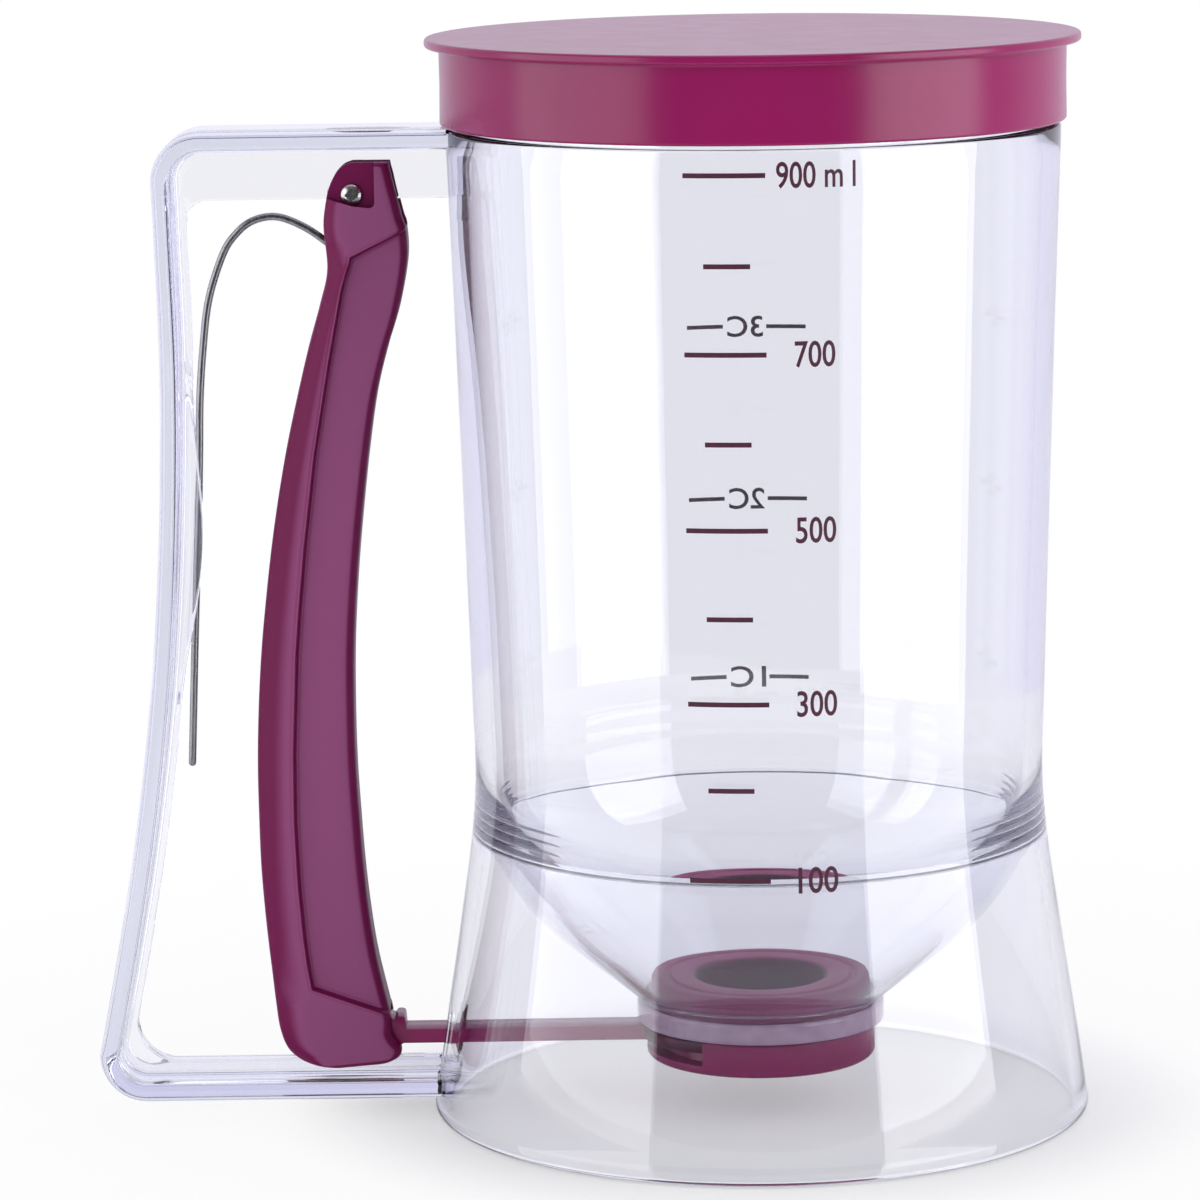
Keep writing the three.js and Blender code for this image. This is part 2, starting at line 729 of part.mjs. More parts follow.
addPiece('container', container(), 'clear', jarAxis);
addPiece('base_skirt', baseSkirt(), 'clear', jarAxis);
addPiece('handle', handle(), 'clear', jarAxis);
addPiece('lid', lid(), 'maroon', jarAxis);
addPiece('valve_seat', valveSeat(), 'seat', jarAxis);
addPiece('valve_cap', valveCap(), 'maroon', jarAxis);
addPiece('gate', gate(), 'maroon', jarAxis);
addPiece('push_rod', pushRod(), 'maroon', jarAxis);
addPiece('lever', lever(), 'maroon', leverPivotX, pivotHeight);
addPiece('pivot_screw', pivotScrew(), 'steel', leverPivotX, pivotHeight);
addPiece('pivot_nut', pivotNut(), 'steel', leverPivotX, pivotHeight);
addPiece('rod_pin', rodPin(), 'steel', leverPivotX + rodPinSetback, pivotHeight - rodPinDrop);
addPiece('spring_wire', springWire(), 'steel', leverPivotX, pivotHeight);

export default object;
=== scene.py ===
"""Batter dispenser: a clear jug with a funnel, a flared foot and a handle loop, a maroon lid,
a squeeze lever on a wire spring, and a rod that slides a gate under the outlet.

Shapes are worked out in millimetres round the jug's own axis, with +Z up and the handle
towards -X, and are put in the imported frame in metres. The foot stands on Z = 0.
"""

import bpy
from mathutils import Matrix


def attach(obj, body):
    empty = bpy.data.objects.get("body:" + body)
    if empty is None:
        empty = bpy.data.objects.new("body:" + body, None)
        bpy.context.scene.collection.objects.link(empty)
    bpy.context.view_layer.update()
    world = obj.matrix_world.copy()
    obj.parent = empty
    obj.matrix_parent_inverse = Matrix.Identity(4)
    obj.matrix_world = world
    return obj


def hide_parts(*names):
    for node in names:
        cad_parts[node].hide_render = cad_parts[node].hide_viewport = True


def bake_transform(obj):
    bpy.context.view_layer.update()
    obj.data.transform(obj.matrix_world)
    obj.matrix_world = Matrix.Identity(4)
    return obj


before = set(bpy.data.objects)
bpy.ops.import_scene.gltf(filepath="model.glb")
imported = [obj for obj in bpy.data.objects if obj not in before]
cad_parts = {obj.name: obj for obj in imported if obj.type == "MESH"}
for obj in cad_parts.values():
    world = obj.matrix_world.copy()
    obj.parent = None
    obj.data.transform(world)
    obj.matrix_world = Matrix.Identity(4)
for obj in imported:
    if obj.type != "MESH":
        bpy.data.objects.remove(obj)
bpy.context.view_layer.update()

import math

import bmesh
import bpy
import numpy as np
from mathutils import Matrix, Vector

MM = 0.001
JAR_X = 28.5  # the jug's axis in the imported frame
SEAM = 0.01  # how near a mirrored section comes to its middle plane

# Jug: its outside is a smooth curve through these heights and radii
OUTSIDE = [
    (-4, 56.9), (0, 56.2), (9, 54.95), (18.3, 53.5), (27, 52.1), (35.9, 50.75), (44.6, 49.45),
    (53.3, 48.55), (61, 48.3), (70.7, 48.6), (88, 49.05), (105, 49.55), (122, 50.05),
    (139, 50.55), (155.7, 51.1), (168.2, 51.5), (175, 51.7),
]
JAR_TOP = 181.6
JAR_WALL = 3.0
SHOULDER_Z = 168.2
SHOULDER_R = 51.5
NECK_R = 50.4
NECK_WALL = 1.7
BEND_R = 8.3  # the middle of the bowl's section
BEND_Z = 60.5
CONE_ANGLE = math.radians(39.5)
FUNNEL_DROP = 1.6  # how much lower the inside of the bowl and funnel lies than an even wall's
SKIRT_TOP_Z = 51
SKIRT_TOP_WALL = 2.1
SKIRT_FOOT_WALL = 2.4
CROTCH = 0.9  # how far below the crotch of skirt and bowl its rounding starts
SOCKET_R = 21.2
SOCKET_BORE = 19.1
SOCKET_FOOT = 14.8
SOCKET_TOP = 18.3

# Handle
HANDLE_TOP = 168.7
HANDLE_FOOT = 3.0
BAR_ENDS = (-50.0, -54.3)  # x where the top and the bottom bar end in the jug's wall
LEG_TOP_X = -99.9
LEG_FLARE = 13.3
LEG_SHARES = [(0, 1), (0.21, 0.55), (0.4, 0.25), (0.58, 0.08), (0.78, 0), (0.94, 0.03), (1, 0.05)]
TOP_CORNER = 8.5
FOOT_CORNER = 8.0
INNER_TOP = 3.5
INNER_FOOT = 7.0
FLANGE = 3.2
FLANGE_HALF = 8.0
WEB_HALF = 1.5
WEB_TOP_Z = 156.7
WEB_FOOT_Z = 8.9
LEG_WEB = 5.2
GUIDE_Z = 98.0
GUIDE_HALF = 27.0
GUIDE_RISE = 2.0
GUIDE_WIDTH_HALF = 2.5
BOSS_R = 4.1
BOSS_HALF = 3.2

# Lever, its pivot screw and the pin at its foot
PIVOT = (-67.2, 157.7)
LEVER_HALF = 6.5
LEVER_TOP = 163.1
LEVER_FOOT = 8.3
RECESS = 2.0  # depth of the hollow round the screw
CHANNEL_HALF = 3.5
SPINE = 2.6
PANEL_DEPTH = 1.0
PANEL_LIP = 0.14
HOLE_R = 1.6
HEAD_R = 1.85
SHANK_R = 1.3
PIN_R = 1.2
PIN_HOLE_R = 1.5
THROUGH = 9  # further out than any piece of the mechanism

# Outlet, gate and rod
OUTLET_R = 10.9
SEAT_R = 18.8
SEAT_Z = (14.2, 23.4)
CAP_R = 19.6
CAP_Z = (8.6, 14.5)
CAP_FLOOR = 13.9
CAP_BORE = 17.3
GATE_R = 15.5
GATE_Z = (11.9, 13.9)
ROD_Z = 12.9
ROD_HALF = 3.2
PIN = (PIVOT[0] + 1, ROD_Z - 0.81)


# ---- meshes from numpy arrays


def grid_faces(rows, columns, wrap_rows=False, wrap_columns=False, first=0):
    """Quads of a grid of rows by columns, joined round where it wraps."""
    i = np.arange(rows if wrap_rows else rows - 1)
    j = np.arange(columns if wrap_columns else columns - 1)
    i, j = (a.ravel() for a in np.meshgrid(i, j, indexing="ij"))
    k, l = (i + 1) % rows, (j + 1) % columns
    corners = (i * columns + j, i * columns + l, k * columns + l, k * columns + j)
    return (first + np.stack(corners, 1)).tolist()


def tidy(mesh):
    """Merges points that meet, drops faces with no area and turns every face outwards."""
    work = bmesh.new()
    work.from_mesh(mesh)
    bmesh.ops.remove_doubles(work, verts=work.verts, dist=1e-7)
    bmesh.ops.dissolve_degenerate(work, edges=work.edges, dist=1e-8)
    bmesh.ops.recalc_face_normals(work, faces=work.faces)
    work.to_mesh(mesh)
    work.free()


def place(name, data):
    """An object at the origin for a mesh, words, a lamp or a camera."""
    holder = bpy.data.objects.new(name, data)
    bpy.context.scene.collection.objects.link(holder)
    return holder


def solid(name, points, faces):
    """A mesh object from points in millimetres, put in the frame in metres."""
    mesh = bpy.data.meshes.new(name)
    placed = (np.asarray(points, float).reshape(-1, 3) + (JAR_X, 0, 0)) * MM
    mesh.from_pydata(placed.tolist(), [], faces)
    tidy(mesh)
    return place(name, mesh)


def lathe(name, profile, turns=192, along_y=None):
    """A closed profile of (radius, height) turned about the jug's axis: point = (r cos t, r sin t,
    h), with t in equal steps of a whole turn. Or it is turned about an axis along Y through
    the (x, z) along_y: point = (x + r cos t, h, z + r sin t)."""
    r, h = np.asarray(profile, float).T
    t = np.arange(turns) * 2 * np.pi / turns
    points = np.stack([np.outer(np.cos(t), r), np.outer(np.sin(t), r), np.tile(h, (turns, 1))], 2)
    if along_y:
        points = points[:, :, [0, 2, 1]] + (along_y[0], 0, along_y[1])
    return solid(name, points, grid_faces(turns, len(r), True, True))


def swept(name, sections):
    """Closed sections joined one after another, with a flat face at each end."""
    rows, columns, _ = sections.shape
    faces = grid_faces(rows, columns, False, True)
    faces += [list(range(columns)), list(range((rows - 1) * columns, rows * columns))]
    return solid(name, sections, faces)


def mirrored(name, side):
    """Lines of points down one side of a section, mirrored in y = 0, joined round and swept."""
    other = [points * (1, -1, 1) for points in reversed(side)]
    return swept(name, np.stack([*side, *other], 1))


def plate(name, outline, low, high, axis=1):
    """An outline made a plate from low to high along X, Y or Z, which are axis 0, 1 and 2."""
    return swept(name, np.stack([np.insert(outline, axis, v, axis=1) for v in (low, high)]))


def round_bar(name, radius, low, high, centre):
    """A round bar along Y."""
    return plate(name, circle(radius, centre), low, high)


def block(name, x, y, z):
    """A box between pairs of limits."""
    return plate(name, rectangle(x, y), *z, axis=2)


# ---- lines and curves


def at_y(flat, y):
    """Flat (x, z) points given a y each."""
    return np.stack([flat[:, 0], np.broadcast_to(y, len(flat)), flat[:, 1]], 1)


def circle(radius, centre=(0, 0), steps=48, start=0.0, end=2 * math.pi):
    """Points on a circle or an arc; a whole circle leaves its last point out."""
    whole = abs(end - start) > 2 * math.pi - 1e-6
    t = np.linspace(start, end, steps, endpoint=not whole)
    return np.stack([centre[0] + radius * np.cos(t), centre[1] + radius * np.sin(t)], 1)


def quarter_turn(steps):
    """(1 - cos a, 1 - sin a) for a from 0 to a quarter turn: a rounding of radius 1."""
    return [(1 - math.cos(a), 1 - math.sin(a)) for a in np.linspace(0, math.pi / 2, steps)]


def filleted(corners, steps=5):
    """A closed outline whose corners (x, y, radius) are rounded by an arc of that radius,
    tangent to both sides: it starts radius / tan(half the corner's angle) from the corner."""
    corners = [np.array(c, float) for c in corners]
    points = []
    for i, (*centre, radius) in enumerate(corners):
        before, after = corners[i - 1], corners[(i + 1) % len(corners)]
        a, b = before[:2] - centre, after[:2] - centre
        reach = 0.48 * min(np.linalg.norm(a), np.linalg.norm(b))
        a, b = a / np.linalg.norm(a), b / np.linalg.norm(b)
        half = math.acos(np.clip(a @ b, -1, 1)) / 2
        if radius <= 0 or half > 1.55:
            points.append(centre)
            continue
        tangent = min(radius / math.tan(half), reach)
        radius = tangent * math.tan(half)
        middle = centre + (a + b) / np.linalg.norm(a + b) * radius / math.sin(half)
        start, end = centre + a * tangent - middle, centre + b * tangent - middle
        turn = math.atan2(start[0] * end[1] - start[1] * end[0], start @ end)
        for share in np.linspace(0, 1, steps):
            c, s = math.cos(turn * share), math.sin(turn * share)
            points.append(middle + (c * start[0] - s * start[1], s * start[0] + c * start[1]))
    return np.array(points)


def catmull(points, samples):
    """A Catmull-Rom curve: a cubic from each point to the next, whose slope at a point is half
    the way from the one before to the one after. The ends are held."""
    points = np.asarray(points, float)
    padded = np.vstack([points[:1], points, points[-1:]])
    t = np.linspace(0, len(points) - 1, samples)
    i = np.minimum(t.astype(int), len(points) - 2)
    u = (t - i)[:, None]
    p0, p1, p2, p3 = (padded[i + k] for k in range(4))
    v0, v1 = (p2 - p0) / 2, (p3 - p1) / 2
    return (2 * p1 - 2 * p2 + v0 + v1) * u**3 + (3 * p2 - 3 * p1 - 2 * v0 - v1) * u**2 + v0 * u + p1


def rectangle(x, y, radius=0):
    """An outline between pairs of limits, with rounded corners if it has a radius."""
    return filleted([(x[i], y[j], radius) for i, j in ((0, 0), (1, 0), (1, 1), (0, 1))])


def look_up(table, value):
    """A table's second column at a value of its first, straight between its rows."""
    first, second = np.asarray(table, float).T
    return np.interp(value, first, second)


def smoothstep(low, high, value):
    """0 below low, 1 above high, and 3 u ** 2 - 2 u ** 3 at the share u between them."""
    share = np.clip((value - low) / (high - low), 0, 1)
    return share * share * (3 - 2 * share)


def directions(line):
    """Unit vectors along a flat line and to its left."""
    along = np.gradient(line, axis=0)
    along /= np.linalg.norm(along, axis=1)[:, None]
    return along, np.stack([-along[:, 1], along[:, 0]], 1)


# ---- work on whole pieces


def final_mesh(piece):
    """A copy of the mesh that the piece's modifiers or its words give."""
    graph = bpy.context.evaluated_depsgraph_get()
    return bpy.data.meshes.new_from_object(piece.evaluated_get(graph))


def settle(piece):
    """Keeps the mesh that the piece's modifiers give, and drops the modifiers."""
    mesh = final_mesh(piece)
    piece.modifiers.clear()
    old, piece.data = piece.data, mesh
    mesh.name = piece.name
    bpy.data.meshes.remove(old)


def carve(piece, operation, *tools):
    """Joins the tools to the piece or cuts them from it, removes them and tidies the mesh."""
    for tool in tools:
        step = piece.modifiers.new("carve", "BOOLEAN")
        step.operation, step.solver, step.object = operation, "EXACT", tool
    settle(piece)
    tidy(piece.data)
    for tool in tools:
        bpy.data.objects.remove(tool)


def soften(piece, width, angle=35):
    """Rounds the piece's edges that turn by more than the angle; width is in millimetres."""
    step = piece.modifiers.new("edges", "BEVEL")
    step.width, step.segments = width * MM, 2
    step.limit_method, step.angle_limit = "ANGLE", math.radians(angle)
    settle(piece)


def finish(piece, material, body, slot=None, *nodes, sharp=32):
    """Shades the piece smooth up to an angle, gives it its material and body, and hides the nodes
    it stands for. The slot is not used.
    """
    piece.data.shade_smooth()
    piece.data.set_sharp_from_angle(angle=math.radians(sharp))
    piece.data.materials.clear()
    piece.data.materials.append(material)
    if body:
        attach(piece, body)
    if nodes:
        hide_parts(*nodes)


# ---- materials


NOISE_LOW, NOISE_HIGH = 0.3, 0.7  # nearly all of a noise texture's values lie between them


def linear(hex_colour):
    """An sRGB hex colour as linear red, green, blue and alpha."""
    values = [int(hex_colour[i : i + 2], 16) / 255 for i in (1, 3, 5)]
    return [v / 12.92 if v <= 0.04045 else ((v + 0.055) / 1.055) ** 2.4 for v in values] + [1.0]


def add(tree, kind, inputs=None, **settings):
    """Adds a shader node, sets its properties, and sets or links its inputs. An input that is
    given a node is linked to the first of its outputs that is in use."""
    node = tree.nodes.new("ShaderNode" + kind)
    for key, value in settings.items():
        setattr(node, key, value)
    for key, value in (inputs or {}).items():
        if isinstance(value, bpy.types.Node):
            value = next(socket for socket in value.outputs if socket.enabled)
        if isinstance(value, bpy.types.NodeSocket):
            tree.links.new(value, node.inputs[key])
        else:
            node.inputs[key].default_value = value
    return node


def material(name, build, *finish):
    """A material whose nodes are added to its tree by the function build, with this finish."""
    made = bpy.data.materials.new(name)
    made.use_nodes = True
    made.node_tree.nodes.clear()
    build(made.node_tree, *finish)
    return made


def surface(tree, inputs, texture=None, **output):
    """Ends a material: its surface with these inputs, a texture given as a pattern, its depth in
    millimetres and its strength, and what else the output takes."""
    if texture:
        pattern, depth, strength = texture
        inputs["Normal"] = add(tree, "Bump", {
            "Height": pattern, "Distance": depth * MM, "Strength": strength,
        })
    add(tree, "OutputMaterial", {"Surface": add(tree, "BsdfPrincipled", inputs), **output})


def grain(tree, size, detail=2.0, stretch=(1, 1, 1)):
    """Noise on the piece's own coordinates, with lumps about size millimetres across."""
    where = add(tree, "TexCoord").outputs["Object"]
    mapping = add(tree, "Mapping", {"Vector": where, "Scale": stretch})
    return add(tree, "TexNoise", {
        "Vector": mapping, "Scale": 1 / (size * MM), "Detail": detail,
    })


def two_tone(tree, pattern, colour, dark):
    """The colour turning to the darker one as the pattern rises."""
    share = add(tree, "MapRange", {
        "Value": pattern, "From Min": NOISE_LOW, "From Max": NOISE_HIGH,
    })
    return add(tree, "Mix", {
        "Factor": share, "A": linear(colour), "B": linear(dark),
    }, data_type="RGBA")


def from_axis(tree, x=JAR_X):
    """Distance in metres from the upright line through (x, 0), the jug's axis if not given."""
    where = add(tree, "TexCoord").outputs["Object"]
    flat = add(tree, "VectorMath", {
        0: where, 1: (1, 1, 0), 2: (-x * MM, 0, 0),
    }, operation="MULTIPLY_ADD")
    return add(tree, "VectorMath", {0: flat}, operation="LENGTH")


def clear_plastic(tree):
    """Styrene acrylonitrile, injection moulded and polished: glassy, faintly lavender where it is
    thick, with the slow waviness of a moulded wall that makes its reflections swim."""
    depth = add(tree, "VolumeAbsorption", {"Color": linear("#bcc0e1"), "Density": 38.0})
    surface(tree, {
        "Base Color": linear("#fdfdff"), "Roughness": 0.015, "IOR": 1.56,
        "Transmission Weight": 1.0,
    }, (grain(tree, 22, 1.0), 0.03, 1.0), Volume=depth)


def cloudy_plastic(tree, colour, dark):
    """The same plastic where it isn't clear, as at a weld line, where two flows of the melt met:
    cloudy and pale, in streaks. At the socket it is painted pink, a painted reflection of the
    cap."""
    shade = two_tone(tree, grain(tree, 3), colour, dark)
    surface(tree, {"Base Color": shade, "Roughness": 0.5, "IOR": 1.56})


def lever_painted_sheen(tree):
    """Painted sheen: 1 on the lever's outer faces that look sideways, and 0 on its edges, bands and
    hollows: a smooth step of the normal's y times a step of y, both without their signs. The
    hollow round the screw is left without it, darker, as painted shade."""
    hollow = LEVER_HALF - RECESS
    shares = []
    # the second step leaves the painted sheen off the hollow round the screw, which stays darker as
    # painted shade
    for kind, step, low, high in (
        ("Normal", "SMOOTHSTEP", 0.9, 0.998),
        ("Object", "LINEAR", (hollow + 0.2) * MM, (hollow + 0.6) * MM),
    ):
        where = add(tree, "TexCoord").outputs[kind]
        y = add(tree, "SeparateXYZ", {"Vector": where}).outputs["Y"]
        shares.append(add(tree, "MapRange", {
            "Value": add(tree, "Math", {0: y}, operation="ABSOLUTE"),
            "From Min": low, "From Max": high,
        }, interpolation_type=step))
    return add(tree, "Math", dict(enumerate(shares)), operation="MULTIPLY")


def maroon_plastic(tree, colour, deep, rough, shine, matt=None):
    """ABS, injection moulded and coloured through: satin, with a fine mould texture and the
    slight streaks of its pigment along the flow. With matt, the lever's faces that look sideways
    get that paler colour as a painted sheen, and are rougher; its hollows, edges and bands keep
    their polish."""
    shade = two_tone(tree, grain(tree, 30, stretch=(1, 1, 0.35)), colour, deep)
    roughness = add(tree, "MapRange", {
        "Value": grain(tree, 6), "From Min": NOISE_LOW, "From Max": NOISE_HIGH,
        "To Min": rough - 0.008, "To Max": rough + 0.012,
    })
    if matt:
        # painted sheen: the paler matt colour on the lever's faces that look sideways
        sides = lever_painted_sheen(tree)
        shade = add(tree, "Mix", {
            "Factor": sides, "A": shade, "B": linear(matt),
        }, data_type="RGBA")
        roughness = add(tree, "Math", {
            0: sides, 1: 0.18, 2: roughness,
        }, operation="MULTIPLY_ADD")
    surface(tree, {
        "Base Color": shade, "Roughness": roughness, "IOR": 1.53, "Specular IOR Level": shine,
    }, (grain(tree, 0.8), 0.003, 0.3))


def silicone(tree):
    """Silicone rubber seat, moulded: softer and paler than the ABS, with painted shade inside its
    bore, where it is painted dark."""
    # painted shade: 0 inside the bore, which gets the dark colour #621343, and 1 outside it
    outside_painted_shade = add(tree, "MapRange", {
        "Value": from_axis(tree),
        "From Min": (OUTLET_R + 0.2) * MM, "From Max": (OUTLET_R + 1.0) * MM,
    })
    colour = add(tree, "Mix", {
        "Factor": outside_painted_shade, "A": linear("#621343"),
        "B": two_tone(tree, grain(tree, 8), "#c96698", "#b95689"),
    }, data_type="RGBA")
    surface(tree, {
        "Base Color": colour, "Roughness": 0.45, "IOR": 1.43,
    }, (grain(tree, 0.5), 0.01, 0.5))


def drawn_steel(tree, colour, dark, rough):
    """Stainless steel, drawn or turned: grey metal with fine lines that blur its reflections."""
    lines = grain(tree, 0.6, stretch=(1, 1, 0.12))
    roughness = add(tree, "MapRange", {
        "Value": lines, "From Min": NOISE_LOW, "From Max": NOISE_HIGH,
        "To Min": rough - 0.05, "To Max": rough + 0.08,
    })
    shade = two_tone(tree, lines, colour, dark)
    surface(tree, {
        "Base Color": shade, "Metallic": 1.0, "Roughness": roughness,
    }, (lines, 0.01, 0.4))


def printing_ink(tree):
    """Screen-printed ink, cured: opaque dark maroon, slightly uneven where the mesh laid it."""
    shade = two_tone(tree, grain(tree, 0.6), "#3f1229", "#4b1832")
    surface(tree, {"Base Color": shade, "Roughness": 0.5})


CLEAR = material("clear_san_moulded", clear_plastic)
CLOUDY = material("clear_san_weld_line", cloudy_plastic, "#eeeef8", "#d3d3e2")
# the socket's pink is a painted reflection of the cap
CLOUDY_SOCKET = material("clear_san_cloudy_painted_reflection", cloudy_plastic, "#e2c4de", "#cda9c8")
MAROON = material("maroon_abs_moulded", maroon_plastic, "#8d0c56", "#82094d", 0.24, 0.4)
# 8c4a75 is the painted sheen on the lever's sides
LEVER_MAROON = material(
    "maroon_abs_satin", maroon_plastic, "#70104a", "#660c43", 0.42, 0.15, "#8c4a75"
)
VALVE_MAROON = material("maroon_abs_smooth", maroon_plastic, "#8c1159", "#800d50", 0.26, 0.35)
# a darker copy of the maroon: painted shade on the gate's top, seen down the seat's bore
SHADED_GATE_MAROON = material("maroon_abs_painted_shade", maroon_plastic, "#560a34", "#4a082c", 0.3, 0.3)
SILICONE = material("silicone_rubber_moulded", silicone)
STEEL = material("stainless_steel_turned", drawn_steel, "#d2d0cd", "#a3a19e", 0.25)
SPRING_STEEL = material("spring_steel_drawn", drawn_steel, "#8e8f91", "#a0a0a0", 0.3)
INK = material("screen_printed_ink", printing_ink)


# ---- clear jug with its funnel, skirt and handle


def wall_radius(z):
    """Outside of the jug and its skirt at a height, by the smooth curve through OUTSIDE."""
    return look_up(catmull(OUTSIDE, 400), z)


def skirt_inside(z):
    """Inside of the skirt: its wall thins evenly from the foot up to the funnel."""
    share = np.clip(np.asarray(z, float) / SKIRT_TOP_Z, 0, 1)
    return wall_radius(z) - SKIRT_FOOT_WALL + (SKIRT_FOOT_WALL - SKIRT_TOP_WALL) * share


def bend(radius, start=0.0):
    """The bowl: r = BEND_R + radius cos a, z = BEND_Z - radius sin a, as a goes from the start
    to where the funnel's wall is the tangent."""
    a = np.linspace(start, math.pi / 2 - CONE_ANGLE, 26)
    return np.stack([BEND_R + radius * np.cos(a), BEND_Z - radius * np.sin(a)], 1)


def crotch_height():
    """Height at which the skirt's inside meets the outside of the bowl."""
    outer = wall_radius(BEND_Z) - BEND_R
    heights = np.linspace(40, 58, 400)
    bend_r = BEND_R + np.sqrt(outer**2 - (BEND_Z - heights) ** 2)
    return heights[np.argmax(bend_r > skirt_inside(heights))]


def jug_profile():
    """Half section of the jug, its bowl and funnel, its socket and the skirt, as one closed line:
    down the outside, up the skirt's inside, down under the funnel and up the jug's inside."""
    outer = wall_radius(BEND_Z) - BEND_R
    neck_in = NECK_R - NECK_WALL
    mouth = filleted([  # the last two corners only close the outline
        (neck_in, 172, 0), (neck_in, JAR_TOP, 0.7), (NECK_R, JAR_TOP, 0.7),
        (NECK_R, SHOULDER_Z, 0.4), (SHOULDER_R, SHOULDER_Z, 0.7), (SHOULDER_R - 0.1, 164, 0),
        (45, 164, 0), (45, 172, 0),
    ])[:-2]
    z = np.linspace(162, 2.5, 62)
    outside = np.stack([wall_radius(z), z], 1)
    foot_r = wall_radius(0)
    foot = filleted([
        (foot_r - 0.1, 2.4, 0), (foot_r, 0, 1.2), (foot_r - SKIRT_FOOT_WALL, 0, 0.9),
        (skirt_inside(2.4), 2.4, 0), (foot_r - 1, 3, 0),
    ])[1:-2]
    crotch = crotch_height()
    z = np.linspace(3, crotch - CROTCH, 22)
    skirt_in = np.stack([skirt_inside(z), z], 1)
    tip = [(skirt_inside(crotch) - 0.12, crotch - CROTCH / 3)]
    under = bend(outer, math.asin((BEND_Z - crotch + CROTCH) / outer))
    slope = math.tan(CONE_ANGLE)
    r = np.linspace(under[-1, 0], SOCKET_R + 0.3, 8)[1:]
    cone_out = np.stack([r, under[-1, 1] - (under[-1, 0] - r) * slope], 1)
    inside_bend = bend(outer - JAR_WALL) - (0, FUNNEL_DROP)
    lip_r = SOCKET_BORE + 0.5
    lip = (lip_r, inside_bend[-1, 1] - (inside_bend[-1, 0] - lip_r) * slope)
    flange = filleted([
        (SOCKET_R + 0.3, cone_out[-1, 1], 0), (SOCKET_R - 1.1, SOCKET_TOP, 0.4),
        (SOCKET_R, SOCKET_TOP, 0.5), (SOCKET_R, SOCKET_FOOT, 0.5), (SOCKET_BORE, SOCKET_FOOT, 0.4),
        (SOCKET_BORE, lip[1], 0.15), (*lip, 0.15), (*inside_bend[-1], 0),
    ])[1:-1]
    cone_in = np.linspace(lip, inside_bend[-1], 9)[1:-1]
    z = np.linspace(BEND_Z - FUNNEL_DROP, SHOULDER_Z - 2, 30)[1:]
    inside = np.stack([wall_radius(z) - JAR_WALL, z], 1)
    return np.vstack([
        mouth, outside, foot, skirt_in, tip, under, cone_out, flange, cone_in,
        inside_bend[::-1], inside, [(neck_in, SHOULDER_Z + 0.6)],
    ])


def leg_x(z):
    """Outside of the handle's leg, by the smooth curve through LEG_SHARES."""
    foot, head = HANDLE_FOOT + FOOT_CORNER, HANDLE_TOP - TOP_CORNER
    return LEG_TOP_X - LEG_FLARE * look_up(catmull(LEG_SHARES, 200), (z - foot) / (head - foot))


def web_depth(z):
    """How far the web stands in from the leg's outside: a cosine swell guides the wire."""
    share = np.minimum(np.abs(z - GUIDE_Z) / GUIDE_HALF, 1)
    return LEG_WEB + GUIDE_RISE * (1 + np.cos(share * np.pi)) / 2


def loop_line(top_z, top_r, foot_z, foot_r, web):
    """A line round the loop: a bar, a quarter turn, the leg, a quarter turn and a bar. With web
    at 0 it lies on the leg's outside, and at 1 on the web's edge."""
    z = np.linspace(top_z - top_r, foot_z + foot_r, 90)
    x = leg_x(z) + web * web_depth(z)
    head, foot = (x[0] + top_r, z[0]), (x[-1] + foot_r, z[-1])
    return np.vstack([
        np.linspace((BAR_ENDS[0], top_z), (head[0], top_z), 20)[:-1],
        circle(top_r, head, 12, math.pi / 2, math.pi),
        np.stack([x, z], 1)[1:-1],
        circle(foot_r, foot, 12, math.pi, 1.5 * math.pi),
        np.linspace((foot[0], foot_z), (BAR_ENDS[1], foot_z), 24)[1:],
    ])


def handle_loop():
    """A T section carried round the loop: the flange follows the outer line's normal, and the
    web runs straight from under the flange to the web's edge, where a groove takes the wire.
    Its roundings are quarter turns."""
    outer = loop_line(HANDLE_TOP, TOP_CORNER, HANDLE_FOOT, FOOT_CORNER, 0)
    inner = loop_line(WEB_TOP_Z, INNER_TOP, WEB_FOOT_Z, INNER_FOOT, 1)
    inward = directions(outer)[1]
    fillet, edge, under, tip = 0.8, 1.2, 0.7, 0.5  # the roundings' radii
    flat_half, groove, groove_half = 3.4, 0.06, 0.95
    root = outer + inward * (FLANGE + fillet)
    web = inner - root
    length = np.linalg.norm(web, axis=1)
    web /= length[:, None]
    z = inner[:, 1]
    on_leg = inner[:, 0] < LEG_TOP_X + 10
    off_guide = smoothstep(GUIDE_HALF - 5, GUIDE_HALF + 1, np.abs(z - GUIDE_Z))
    half = WEB_HALF + (GUIDE_WIDTH_HALF - WEB_HALF) * np.where(on_leg, 1 - off_guide, 0)
    bottom = length - groove - np.where(on_leg, web_depth(z) - LEG_WEB, 0)

    def by_depth(depth, y):
        return at_y(outer + inward * depth, y)

    def by_web(reach, y):
        return at_y(root + web * np.reshape(reach, (-1, 1)), y)

    turn = quarter_turn(5)
    side = [by_depth(0, SEAM), by_depth(0, flat_half)]
    side += [by_depth(edge * c, FLANGE_HALF - edge * s) for c, s in turn]
    side += [by_depth(FLANGE - under * s, FLANGE_HALF - under * c) for c, s in turn[1:]]
    side += [by_depth(FLANGE, (FLANGE_HALF + half) / 2)]
    side += [by_depth(FLANGE + fillet * c, half + fillet * s) for c, s in turn]
    side += [by_web((length - tip) * 0.5, half)]
    side += [by_web(length - tip * s, half - tip * c) for c, s in turn[:4]]
    side += [by_web(length, groove_half), by_web(bottom, groove_half - 0.05), by_web(bottom, SEAM)]
    return mirrored("handle_loop", side)


